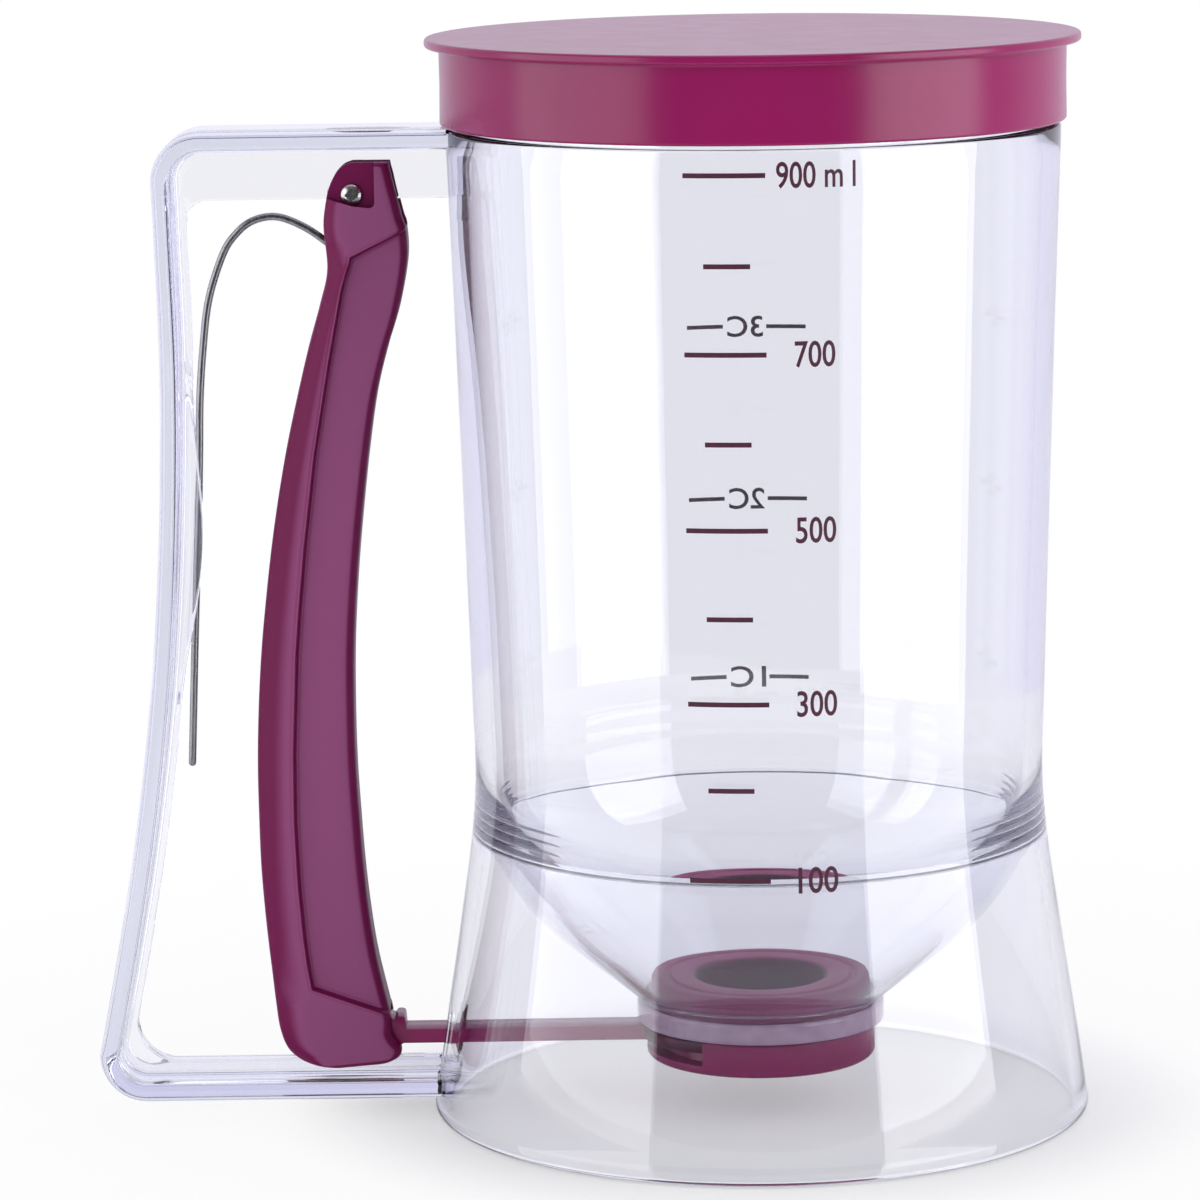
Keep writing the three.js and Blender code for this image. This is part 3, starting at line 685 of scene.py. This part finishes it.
def build_jug():
    """The profile turned about the axis, joined with the handle and the lever's boss, less the
    screw's hole and the rod's way through the skirt."""
    jug = lathe("clear_jug", jug_profile())
    carve(jug, "UNION", handle_loop())
    carve(jug, "UNION", round_bar("boss", BOSS_R, -BOSS_HALF, BOSS_HALF, PIVOT))
    bore = round_bar("bore", HOLE_R, -THROUGH, THROUGH, PIVOT)
    way = rectangle((-3.8, 3.8), (ROD_Z - 4.1, ROD_Z + 4.1), 0.8)
    carve(jug, "DIFFERENCE", bore, plate("rod_way", way, -58.0, -48.0, axis=0))
    finish(jug, CLEAR, "jug", "clear_plastic", "container", "base_skirt", "handle", sharp=38)


def build_weld_line():
    """A flat ring inside the skirt's wall, just under the bowl, that stops short of both faces."""
    gap, low, high = 0.12, crotch_height() - 1.25, crotch_height() - 1.0
    finish(lathe("weld_line", [
        (skirt_inside(low) + gap, low), (wall_radius(low) - gap, low),
        (wall_radius(high) - gap, high), (skirt_inside(high) + gap, high),
    ]), CLOUDY, "jug")


def build_flow_lines():
    """Streaks in the thick wall above the weld line, at the jug's left and right: flat blades from
    near the bowl's inside to near the outside. Their width and thickness fall to nothing along
    the arc as sqrt(1 - share ** 2), where share runs from -1 at the front end to 1 at the back."""
    inner = wall_radius(BEND_Z) - BEND_R - JAR_WALL
    front, back, thick = math.radians(46), math.radians(16), 0.2
    share = np.linspace(-0.999, 0.999, 41)
    fade = np.sqrt(1 - share**2)
    angle = (back - front + (back + front) * share) / 2
    points, faces = [], []
    for side in (1, -1):
        for z in (49.2, 50.8, 52.4, 54.0):
            bowl_r = BEND_R + math.sqrt(inner**2 - (BEND_Z - FUNNEL_DROP - z) ** 2)
            outside = np.full(share.shape, wall_radius(z) - 0.15)
            inside = outside - (outside - bowl_r - 0.25) * fade
            low, high = z + 0 * fade, z + thick * fade
            first, last = 4 * len(share) * len(points), 4 * (len(share) - 1)
            faces += grid_faces(len(share), 4, False, True, first)
            faces += [[first + end + k for k in range(4)] for end in (0, last)]
            points.append(np.stack([
                np.stack([side * r * np.cos(angle), r * np.sin(angle), height], 1)
                for r, height in ((inside, low), (outside, low), (outside, high), (inside, high))
            ], 1).reshape(-1, 3))
    finish(solid("flow_lines", np.vstack(points), faces), CLOUDY, "jug")


def build_socket_cloud():
    """A thin upright ring inside the wall of the outlet's socket."""
    ring = rectangle((20.0, 20.3), (SOCKET_FOOT + 0.2, SOCKET_TOP - 0.2))
    finish(lathe("socket_cloud", ring), CLOUDY_SOCKET, "jug")


# ---- printed measuring scale


SCALE_ML = [  # height and words of each line on the front; the short lines have no words
    (164.2, "900 m l"), (149.7, None), (135.5, "700"), (121.0, None), (107.0, "500"),
    (92.5, None), (78.5, "300"), (64.2, None), (49.4, "100"),
]
SCALE_CUPS = [(128.5, "3C"), (97.8, "2C"), (65.7, "1C")]


def on_wall(points, lift, side):
    """Flat (across, height) points wrapped on the jug, lifted off it by a little: they stand at
    angle = across / radius from the middle of the front, side -1, or of the back, side 1."""
    across, z = points[:, 0], points[:, 1]
    radius = wall_radius(z)
    angle = across / radius
    x = (radius + lift) * np.sin(angle) * (-side)
    return np.stack([x, side * (radius + lift) * np.cos(angle), z], 1)


def printed(parts, side):
    """Thin closed prints from flat grids and faces: a lower and an upper skin joined at the rim."""
    points, faces, first = [], [], 0
    for flat, quads in parts:
        count = len(flat)
        points += [on_wall(flat, 0.02, side), on_wall(flat, 0.07, side)]
        faces += [[first + i for i in f] for f in quads]
        faces += [[first + count + i for i in reversed(f)] for f in quads]
        edges = {edge: True for f in quads for edge in zip(f, [*f[1:], f[0]])}
        for a, b in edges:
            if (b, a) not in edges:
                faces.append([first + b, first + a, first + count + a, first + count + b])
        first += 2 * count
    return np.vstack(points), faces


def tick(x0, x1, z, height=0.8):
    """A printed line as a grid that can bend round the wall."""
    columns = max(int((x1 - x0) / 0.6), 2) + 1
    x = np.linspace(x0, x1, columns)
    flat = np.array([(a, z + s * height / 2) for s in (-1, 1) for a in x])
    return flat, grid_faces(2, columns)


def lettering(text, left, z, height, width):
    """Words as flat faces: the built-in font's outline, scaled to a height and width."""
    curve = bpy.data.curves.new("words", "FONT")
    curve.body, curve.resolution_u, curve.offset = text, 4, 0.012
    holder = place("words", curve)
    bpy.context.view_layer.update()
    mesh = final_mesh(holder)
    work = bmesh.new()
    work.from_mesh(mesh)
    bmesh.ops.remove_doubles(work, verts=work.verts, dist=1e-5)
    bmesh.ops.triangulate(work, faces=work.faces)
    work.verts.ensure_lookup_table()
    flat = np.array([v.co[:2] for v in work.verts])
    faces = [[v.index for v in f.verts] for f in work.faces]
    work.free()
    bpy.data.objects.remove(holder)
    bpy.data.curves.remove(curve)
    bpy.data.meshes.remove(mesh)
    low, high = flat.min(0), flat.max(0)
    flat = (flat - low) / (high - low) * (width, height) + (left, z - height / 2)
    return flat, faces


def build_scale():
    """Lines and words in millilitres on the front of the jug, and in cups on its back."""
    front, back = [], []
    for z, label in SCALE_ML:
        front.append(tick(-12.8, 0.4, z) if label else tick(-9.6, -2.1, z))
        if label:
            left, width = (2.1, 12.9) if len(label) > 3 else (4.9, 6.6)
            front.append(lettering(label, left, z, 4.3, width))
    for z, label in SCALE_CUPS:
        back += [tick(-11.0, -3.6, z, 0.7), tick(4.4, 11.2, z, 0.7)]
        back.append(lettering(label, -3.0, z, 3.8, 6.6))
    for name, parts, side in (("scale_ml", front, -1), ("scale_cups", back, 1)):
        finish(solid(name, *printed(parts, side)), INK, "jug")


# ---- lid


def build_lid():
    """A flat disc on a ring that drops round the neck, with a plug inside the mouth: one rounded
    profile turned about the jug's axis."""
    gap, wall, rim = 0.3, 1.7, 54.8
    under, top = JAR_TOP + gap, JAR_TOP + gap + 1.5
    ring, ring_foot = NECK_R + gap + wall, under - 13
    plug, plug_in, plug_foot = NECK_R - NECK_WALL - gap, NECK_R - NECK_WALL - gap - 1.4, under - 6
    lid = lathe("lid_cover", filleted([
        (1e-3, top, 0), (30, top, 0), (rim - 1.5, top, 0), (rim, top, 0.55), (rim, under, 0.5),
        (ring, under, 0.6), (ring - 0.1, under - 6, 0), (ring, ring_foot, 0.5),
        (ring - wall, ring_foot, 0.4), (ring - wall, under, 0.3), (plug, under, 0.3),
        (plug, plug_foot, 0.6), (plug_in, plug_foot, 0.6), (plug_in, under, 0.4), (1e-3, under, 0),
    ]))
    finish(lid, MAROON, "lid", "maroon_plastic", "lid")


# ---- lever


LEVER_ROWS = [  # leg side x, z and jug side x, z of each row, from head to foot
    (-67.2, 163.1, -60.9, 163.1), (-68.7, 162.4, -60.8, 162.3), (-69.95, 161.0, -60.5, 161.0),
    (-70.8, 159.3, -60.15, 159.4), (-71.4, 157.2, -59.7, 157.6), (-72.0, 152.6, -58.8, 153.9),
    (-71.55, 145.3, -58.25, 151.9), (-72.9, 139.4, -58.1, 146.6), (-74.95, 132.3, -59.6, 138.6),
    (-76.95, 124.4, -61.7, 131.8), (-78.9, 116.0, -63.65, 124.2), (-80.55, 107.5, -65.15, 114.8),
    (-81.95, 98.9, -66.45, 104.3), (-83.15, 89.8, -67.55, 93.6), (-84.15, 80.8, -68.35, 82.0),
    (-84.85, 71.5, -68.6, 71.3), (-85.27, 61.5, -68.52, 60.5), (-85.26, 52.0, -68.1, 51.7),
    (-85.1, 43.5, -67.55, 42.8), (-84.65, 36.0, -66.8, 35.0), (-84.15, 30.0, -65.65, 26.8),
    (-83.6, 24.6, -63.6, 17.4), (-83.1, 19.6, -63.35, 15.6), (-82.5, 15.0, -63.4, 13.9),
    (-81.3, 11.6, -62.7, 12.6), (-79.2, 9.5, -61.7, 11.3), (-76.7, 8.4, -62.1, 9.8),
    (-74.0, 7.9, -63.8, 8.7),
]
PANEL_ROWS = (6, 21)
ROW_PITCH = 5.2  # from row to row at the panel's ends
BORDER = (-0.7, -0.45, -0.25, -0.1, 0.02, 0.14, 0.26, 0.4, 0.55, 0.7, 0.85, 1.05, 1.3, 1.7)
RIDGE = [  # height and x of the ridge beside the panel
    (8, -74.5), (15, -75.8), (22.3, -76.7), (25.8, -77.3), (31, -77.9), (40, -78.6), (51, -79.0),
    (63, -78.9), (80, -78.1), (88, -77.4), (98.5, -76.3), (107, -75.2), (114, -74.3),
    (125.4, -72.3), (131, -71.3), (140.6, -69.4), (142.7, -68.95), (145, -68.2), (146.9, -67.6),
    (150, -67.4), (163, -65.5),
]
BAND_WIDTH = [(8, 4.0), (20, 4.6), (26, 9), (143, 9), (150, 2.6), (163, 2.4)]  # by height
BAND_DROP = [
    (8, 1.6), (20, 1.8), (30, 2.2), (60, 2.5), (120, 2.4), (143, 2.2), (150, 1.3), (163, 1.0),
]
LEG_ROUND = 0.6
JUG_ROUND = (2.0, 1.8)


def lever_rails(t):
    """Leg side and jug side of the lever at rows t, by smooth curves through LEVER_ROWS."""
    fine = np.linspace(0, len(LEVER_ROWS) - 1, 6001)
    curve = catmull(LEVER_ROWS, len(fine))
    x0, z0, x1, z1 = (np.interp(t, fine, curve[:, k]) for k in range(4))
    return np.stack([x0, z0], 1), np.stack([x1, z1], 1)


def panel_depth(inside):
    """Depth of the face at a distance inside the panel's border: a low lip outside it, a step
    down of PANEL_DEPTH within 0.3 mm, and a shallow groove along the foot of the step."""
    lip = -PANEL_LIP * np.exp(-(((inside + 0.3) / 0.28) ** 2))
    groove = 0.1 * np.exp(-(((inside - 0.5) / 0.22) ** 2))
    return PANEL_DEPTH * smoothstep(-0.05, 0.3, inside) + lip + groove


def lever_hull():
    """The lever's outside, row by row. Half thickness across a row, s from the leg side: a small
    round, a band that rises as 1 - (1 - share) ** 1.6 to the ridge, the panel, and an elliptic
    edge. The ends of the lever are rounded too."""
    near = np.array([-2.0, -1.2, *BORDER, 2.4]) / ROW_PITCH
    top, foot = PANEL_ROWS
    t = np.unique(np.concatenate([
        np.linspace(0, top - 0.5, 34), top + near, np.linspace(top + 0.6, foot - 0.6, 80),
        foot - near, np.linspace(foot + 0.5, len(LEVER_ROWS) - 1, 40),
    ]))
    left, right = lever_rails(t)
    width = np.linalg.norm(right - left, axis=1)
    across = (right - left) / width[:, None]
    reach = np.full(len(t), 4.0)
    for _ in range(12):  # the ridge is given by height, and the rows are slanted
        z = left[:, 1] + across[:, 1] * reach
        reach = (look_up(RIDGE, z) - left[:, 0]) / across[:, 0]
        reach = np.clip(reach, 2.3, width - 4.0)
    z = left[:, 1]
    slope = np.minimum(look_up(BAND_WIDTH, z), reach - 0.45)
    drop = look_up(BAND_DROP, z)
    middle = (left[:, 1] + right[:, 1]) / 2
    full = LEVER_HALF - PANEL_LIP + 0 * t
    for gap, radius in ((LEVER_TOP - middle, 0.8), (middle - LEVER_FOOT, 1.0)):
        gap = np.clip(gap, 0, radius)
        full = full - radius + np.sqrt(radius**2 - (radius - gap) ** 2)
    ends = np.minimum(t - top, foot - t) * ROW_PITCH

    def point(s, y):
        flat = left + across * np.broadcast_to(s, width.shape)[:, None]
        return at_y(flat, np.maximum(y, SEAM))

    def face(s, extra=0.0):
        rise = drop * np.clip(1 - s / slope, 0, 1) ** 1.6
        edge = np.clip(1 - s / LEG_ROUND, 0, 1)
        rounding = LEG_ROUND * (1 - np.sqrt(1 - edge**2))
        inside = np.minimum(s - reach, ends)
        return point(s, full - rise - rounding - panel_depth(inside) - extra)

    start, end = reach + BORDER[-1], width - JUG_ROUND[0]
    side = [point(0, SEAM), point(0, full * 0.4)]
    side += [face(s) for s in (0.0, 0.03, 0.1, 0.22, 0.4, LEG_ROUND)]
    side += [face(LEG_ROUND + (reach - 1.6) * s) for s in (0.12, 0.25, 0.4, 0.55, 0.7, 0.85, 1.0)]
    side += [face(reach + s) for s in BORDER]
    side += [face(start + (end - start) * s) for s in (0.1, 0.3, 0.5, 0.7, 0.9)]
    side += [
        face(width - JUG_ROUND[0] * c, JUG_ROUND[1] * s) for c, s in reversed(quarter_turn(10))
    ]
    side += [point(width, full * 0.4), point(width, SEAM)]
    return mirrored("squeeze_lever", side)


def build_lever():
    """The hull, hollowed from the leg's side to a wall SPINE thick on the jug's side, with a fork
    round the handle's boss, a block under it with a kerf for the wire, a slot for the rod, and
    holes and hollows for the screw, its nut and the pin."""
    lever = lever_hull()
    px, pz = PIVOT
    inside = (-CHANNEL_HALF, CHANNEL_HALF)
    block_top, block_foot = pz - 5.7, pz - 11.7
    _, jug_side = lever_rails(np.linspace(6.5, 21.5, 80))
    spine = jug_side[jug_side[:, 1] < block_foot] - (SPINE, 0)
    start = (np.interp(-block_foot, -jug_side[:, 1], jug_side[:, 0]) - SPINE, block_foot)
    channel = np.vstack([[start], spine, [(-66.4, 0.0), (-95.0, 0.0), (-95.0, block_foot)]])
    recess = filleted([
        (-63.35, 170, 0), (-63.35, 155.5, 0.9), (-67.0, 155.9, 2.0), (-76, 158.6, 0), (-76, 170, 0),
    ])
    carve(
        lever, "DIFFERENCE",
        plate("channel", channel, *inside),
        block("fork", (-90, -50), inside, (block_top, 170)),
        block("kerf", (-90, px + 1.3), (-0.95, 0.95), (block_foot - 1, block_top + 1)),
        block("rod_slot", (-90, -50), inside, (0, 17.4)),
        round_bar("screw_hole", HOLE_R, -THROUGH, THROUGH, PIVOT),
        round_bar("pin_hole", PIN_HOLE_R, -5.3, THROUGH, PIN),
        round_bar("nut_recess", 3.3, LEVER_HALF - 1.8, THROUGH, PIVOT),
        plate("screw_recess", recess, -THROUGH, -LEVER_HALF + RECESS),
    )
    finish(lever, LEVER_MAROON, "lever", "maroon_plastic", "lever", sharp=38)


# ---- small metal pieces


def build_screw():
    """The pivot screw, a turned pan head on a plain shank with a cross cut in it, its six-sided
    nut, and the turned pin that carries the rod."""
    px, pz = PIVOT
    head = -LEVER_HALF + RECESS + 0.1
    screw = lathe("pivot_screw_turned", filleted([
        (1e-3, head - 1.2, 0), (0.9, head - 1.2, 0.6), (HEAD_R, head - 0.7, 0.5),
        (HEAD_R, head, 0.2), (SHANK_R, head, 0.1), (SHANK_R, 7.0, 0.3), (1e-3, 7.0, 0),
    ]), 40, PIVOT)
    depth, long, narrow = (head - 2, head - 0.6), 1.1, 0.25
    carve(
        screw, "DIFFERENCE",
        block("slot", (px - long, px + long), depth, (pz - narrow, pz + narrow)),
        block("cross", (px - narrow, px + narrow), depth, (pz - long, pz + long)),
    )
    finish(screw, STEEL, "lever", "steel", "pivot_screw")

    nut = plate("pivot_nut_pressed", circle(2.89, PIVOT, 6), 5.0, 6.8)
    soften(nut, 0.25)
    carve(nut, "DIFFERENCE", round_bar("thread", HOLE_R, 4, 8, PIVOT))
    finish(nut, STEEL, "lever", "steel", "pivot_nut")

    pin = lathe("rod_pin_turned", filleted([
        (1e-3, -5.0, 0), (PIN_R, -5.0, 0.3), (PIN_R, 6.2, 0.3), (1e-3, 6.2, 0),
    ]), 32, PIN)
    finish(pin, STEEL, "lever", "steel", "rod_pin")


WIRE = [  # x and z of the wire's middle, from inside the lever's head to the leg
    (-66.9, 143.2), (-69.2, 147.0), (-71.7, 149.4), (-75.8, 152.2), (-80.2, 153.8), (-84.2, 153.1),
    (-87.1, 150.8), (-89.3, 147.4), (-91.8, 139.9), (-93.0, 131.4), (-93.7, 123.0), (-94.0, 114.4),
    (-94.4, 104.5), (-94.8, 96.9), (-95.5, 83.9), (-96.6, 60.7),
]
WIRE_R = 0.65


def build_wire():
    """A round section carried along a smooth curve, rounded off at both ends: there the middle
    goes on by radius cos a while the section shrinks to radius sin a."""
    line = catmull(WIRE, 180)
    along, across = directions(line)
    cap = [(WIRE_R * math.cos(a), WIRE_R * math.sin(a) + 0.02)
           for a in np.linspace(0, math.pi / 2, 5)[:-1]]
    rings = [(line[0] - along[0] * reach, across[0], radius) for reach, radius in cap]
    rings += [(p, n, WIRE_R) for p, n in zip(line, across)]
    rings += [(line[-1] + along[-1] * reach, across[-1], radius) for reach, radius in cap[::-1]]
    t = np.arange(16) * 2 * np.pi / 16
    sections = np.stack([
        np.stack([p[0] + n[0] * r * np.cos(t), r * np.sin(t), p[1] + n[1] * r * np.cos(t)], 1)
        for p, n, r in rings
    ])
    wire = swept("spring_wire_bent", sections)
    finish(wire, SPRING_STEEL, None, "spring_steel", "spring_wire")
    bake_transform(wire)


# ---- rod, gate and valve


def build_rod():
    """A flat bar with an eye at the lever, whose upright slot takes the pin, and a T-shaped hook
    at the gate: rounded outlines made plates, joined, cut and softened."""
    px = PIN[0]
    across = (-ROD_HALF, ROD_HALF)
    low, high = 11.7, 14.1
    bar = filleted([(px, low, 0.2), (-17, low, 0.3), (-17, high, 0.3), (px, high, 0.2)], 4)
    rod = plate("push_rod_moulded", bar, *across)
    eye = filleted([
        (px - 3, 9.4, 1.6), (px + 3.2, 9.4, 1.4), (px + 4.6, low, 0.8), (px + 6.6, 11.9, 0),
        (px + 6.6, 14.0, 0), (px + 5.3, 14.0, 0.3), (px + 5.1, 16.4, 0.6), (px + 3.7, 16.4, 0.6),
        (px + 3.3, 15.6, 0.4), (px + 2.6, 16.4, 0.6), (px - 3, 16.4, 1.6),
    ], 4)
    neck = block("neck", (-20, -14.7), (-1.6, 1.6), GATE_Z)
    hook = block("hook", (-17.6, -14.8), across, GATE_Z)
    carve(rod, "UNION", plate("eye", eye, *across), neck, hook)
    slot = rectangle((px - 1.5, px + 1.5), (10.0, 15.8), 1.4)
    carve(rod, "DIFFERENCE", plate("slot", slot, -THROUGH, THROUGH))
    soften(rod, 0.25)
    finish(rod, VALVE_MAROON, "gate_rod", "maroon_plastic", "push_rod")


def build_gate():
    """A tongue with two round ends, cut at its tail by a notch and a pocket for the rod's hook."""
    front, back = -2.5, -5
    tail = back - GATE_R
    gate = plate("gate_tongue", np.vstack([
        circle(GATE_R, (front, 0), 48, -math.pi / 2, math.pi / 2),
        circle(GATE_R, (back, 0), 48, math.pi / 2, 1.5 * math.pi),
    ]), *GATE_Z, axis=2)
    notch = block("notch", (tail - 2, tail + 3), (-1.9, 1.9), (5, 20))
    pocket = block("hook_pocket", (tail + 2.2, tail + 5.6), (-3.5, 3.5), (5, 20))
    carve(gate, "DIFFERENCE", notch, pocket)
    soften(gate, 0.25)
    finish(gate, SHADED_GATE_MAROON, "gate_rod", "maroon_plastic", "gate")


def build_valve():
    """The seat, a stepped ring with a groove in its top, and the cap round it: rounded profiles
    turned about the jug's axis. The gate's way and a window towards the lever are cut from
    the cap."""
    low, high = SEAT_Z
    step, groove = 17.7, high - 0.6
    seat = lathe("valve_seat_moulded", filleted([
        (OUTLET_R, high, 1.2), (OUTLET_R, low, 0.2), (17.0, low, 0.2), (17.0, step, 0.2),
        (SEAT_R, step, 0.3), (SEAT_R, high, 0.9), (16.7, high, 0.2), (16.4, groove, 0.2),
        (15.6, groove, 0.2), (15.3, high, 0.2),
    ]), 128)
    finish(seat, SILICONE, "jug", "seat_rubber", "valve_seat")

    foot, top = CAP_Z
    inner_top = 17.4
    cap = lathe("valve_cap_moulded", filleted([
        (OUTLET_R, CAP_FLOOR, 0.2), (OUTLET_R, foot, 0.8), (CAP_R, foot, 1.0), (CAP_R, top, 0.5),
        (SEAT_R, top, 0.2), (SEAT_R, inner_top, 0.4), (CAP_BORE, inner_top, 0.3),
        (CAP_BORE, CAP_FLOOR, 0.2),
    ]), 160)
    way_half, far, wide = 15.8, 25, math.radians(58)
    way = np.vstack([
        circle(way_half, (-2.5, 0), 60, -math.pi / 2, math.pi / 2),
        [(-far, way_half), (-far, -way_half)],
    ])
    window = np.vstack([
        circle(16.6, (0, 0), 40, math.pi - wide, math.pi + wide),
        circle(far, (0, 0), 40, math.pi + wide, math.pi - wide),
    ])
    way, window = plate("way", way, 11.6, 14.2, 2), plate("window", window, 10.2, 14.6, 2)
    carve(cap, "DIFFERENCE", way, window)
    soften(cap, 0.2, 50)
    finish(cap, VALVE_MAROON, "jug", "maroon_plastic", "valve_cap")


# ---- stage, lamps and camera


WHITE = (1, 1, 1, 1)


def eye_rays(tree, path):
    """1 for the camera's own rays and for those that come through the clear jug."""
    return add(tree, "Math", {
        0: path.outputs["Is Camera Ray"], 1: path.outputs["Is Transmission Ray"],
    }, operation="MAXIMUM")


def backdrop_rays(tree, path):
    """1 for rays that show the backdrop: those of the eye, unless something inside the jug has
    reflected them once or twice, and they leave it as they would without the jug."""
    turned = add(tree, "Math", {
        0: path.outputs["Glossy Depth"], 1: 1.5, 2: 1.0,
    }, operation="COMPARE")
    return add(tree, "Math", {
        0: eye_rays(tree, path), 1: turned,
    }, operation="SUBTRACT", use_clamp=True)


def white_table(tree):
    """The camera, and the rays that come through the clear jug, see the light that falls on the
    table under the jug, and round it the plain white behind the table with a trace of the
    shadow. Other rays see through it towards its rim."""
    near, far, rim = (
        add(tree, "MapRange", {
            "Value": distance, "From Min": start, "From Max": end, "To Min": low, "To Max": high,
        }, interpolation_type="SMOOTHSTEP")
        for distance, start, end, low, high in (
            (from_axis(tree), 0.055, 0.086, 0.4, 0.88),
            (from_axis(tree), 0.08, 0.26, 0.0, 0.12),
            (from_axis(tree, 0), 0.2, 0.38, 0.0, 1.0),
        )
    )
    pale = add(tree, "Math", {0: near, 1: far}, operation="ADD")
    matt = add(tree, "BsdfDiffuse", {"Color": linear("#fafafb")})
    white = add(tree, "Emission", {"Color": WHITE, "Strength": 1.0})
    clear = add(tree, "BsdfTransparent")
    for_eye = add(tree, "MixShader", {0: pale, 1: matt, 2: white})
    for_light = add(tree, "MixShader", {0: rim, 1: matt, 2: clear})
    seen = eye_rays(tree, add(tree, "LightPath"))
    both = add(tree, "MixShader", {0: seen, 1: for_light, 2: for_eye})
    add(tree, "OutputMaterial", {"Surface": both})


def build_stage():
    """A round table: rings of points at even steps of the radius round a middle point."""
    radius, rings, sides = 0.4, 29, 96
    drop = 0.0002  # keeps the table just clear of the foot
    r = np.linspace(0.0, radius, rings + 1)[1:]
    t = np.arange(sides) * 2 * np.pi / sides
    flat = np.stack([np.outer(r, np.cos(t)), np.outer(r, np.sin(t)), np.zeros((rings, sides))], 2)
    points = np.vstack([flat.reshape(-1, 3), [(0, 0, 0)]]) - (0, 0, drop)
    faces = grid_faces(rings, sides, False, True)
    faces += [[rings * sides, i, (i + 1) % sides] for i in range(sides)]
    mesh = bpy.data.meshes.new("table")
    mesh.from_pydata(points.tolist(), [], faces)
    mesh.materials.append(material("white_table", white_table))
    place("table", mesh)


def build_world():
    """A faintly blue room: its level is a smooth step of the direction's y, from dim on the
    camera's side to white behind the object. The backdrop itself is plain white."""
    world = bpy.data.worlds.new("studio")
    world.use_nodes = True
    tree = world.node_tree
    tree.nodes.clear()
    direction = add(tree, "TexCoord").outputs["Generated"]
    y = add(tree, "SeparateXYZ", {"Vector": direction}).outputs["Y"]
    room = add(tree, "MapRange", {
        "Value": y, "From Min": -0.35, "From Max": 0.5, "To Min": 0.12, "To Max": 1.0,
    }, interpolation_type="SMOOTHSTEP")
    path = add(tree, "LightPath")
    backdrop = backdrop_rays(tree, path)
    glow = 0.22  # how much lighter the room is to a ray that comes out of the clear plastic
    inside = add(tree, "Math", {
        0: path.outputs["Is Transmission Ray"], 1: glow, 2: room,
    }, operation="MULTIPLY_ADD", use_clamp=True)
    level = add(tree, "Math", {0: backdrop, 1: inside}, operation="MAXIMUM")
    tint = add(tree, "Mix", {
        "Factor": backdrop, "A": linear("#f1efff"), "B": WHITE,
    }, data_type="RGBA")
    light = add(tree, "Background", {"Color": tint, "Strength": level})
    add(tree, "OutputWorld", {"Surface": light})
    bpy.context.scene.world = world


def softbox(name, bearing, size, brightness, distance=0.75, height=0.2):
    """A soft lamp facing the object: brightness is its radiance, so its power is
    pi * area * brightness. Bearing 0 is the camera's side."""
    lamp = bpy.data.lights.new(name, "AREA")
    lamp.shape, lamp.size, lamp.size_y = "RECTANGLE", *size
    lamp.energy = math.pi * size[0] * size[1] * brightness
    holder = place(name, lamp)
    turn = math.radians(bearing)
    back = Vector((math.sin(turn), -math.cos(turn), 0))
    holder.location = (JAR_X * MM + distance * back.x, distance * back.y, height)
    holder.rotation_euler = back.to_track_quat("Z", "Y").to_euler()
    return holder


def build_lamps():
    """Two softboxes at the sides, a weak one above, and a fill from the camera's side that
    shows in no reflection."""
    softbox("softbox_left", -67, (0.78, 1.0), brightness=2.0)
    softbox("softbox_right", 63, (0.65, 1.0), brightness=3.0)
    top = softbox("softbox_top", 0, (0.9, 0.9), brightness=0.6, distance=0.0, height=0.9)
    top.rotation_euler = (0, 0, 0)
    fill = softbox("fill_front", 0, (1.4, 1.2), brightness=0.8, distance=1.1, height=0.3)
    fill.visible_glossy = fill.visible_transmission = False


def build_camera():
    """The photograph's camera, which looks down a little, is rolled clockwise and isn't shifted."""
    data = bpy.data.cameras.new("camera")
    data.lens, data.sensor_width = 162.9, 36.0
    data.clip_start, data.clip_end = 0.01, 50
    camera = place("camera", data)
    down, roll = math.radians(9.6), math.radians(-0.8)
    turn = Matrix.Rotation(math.pi / 2 - down, 4, "X") @ Matrix.Rotation(roll, 4, "Z")
    camera.matrix_world = Matrix.Translation((0.00183, -0.9094, 0.2416)) @ turn
    bpy.context.scene.camera = camera


build_camera()
build_world()
build_lamps()
build_stage()
build_jug()
build_weld_line()
build_flow_lines()
build_socket_cloud()
build_scale()
build_lid()
build_lever()
build_screw()
build_wire()
build_rod()
build_gate()
build_valve()
bpy.context.scene.view_settings.view_transform = "Standard"
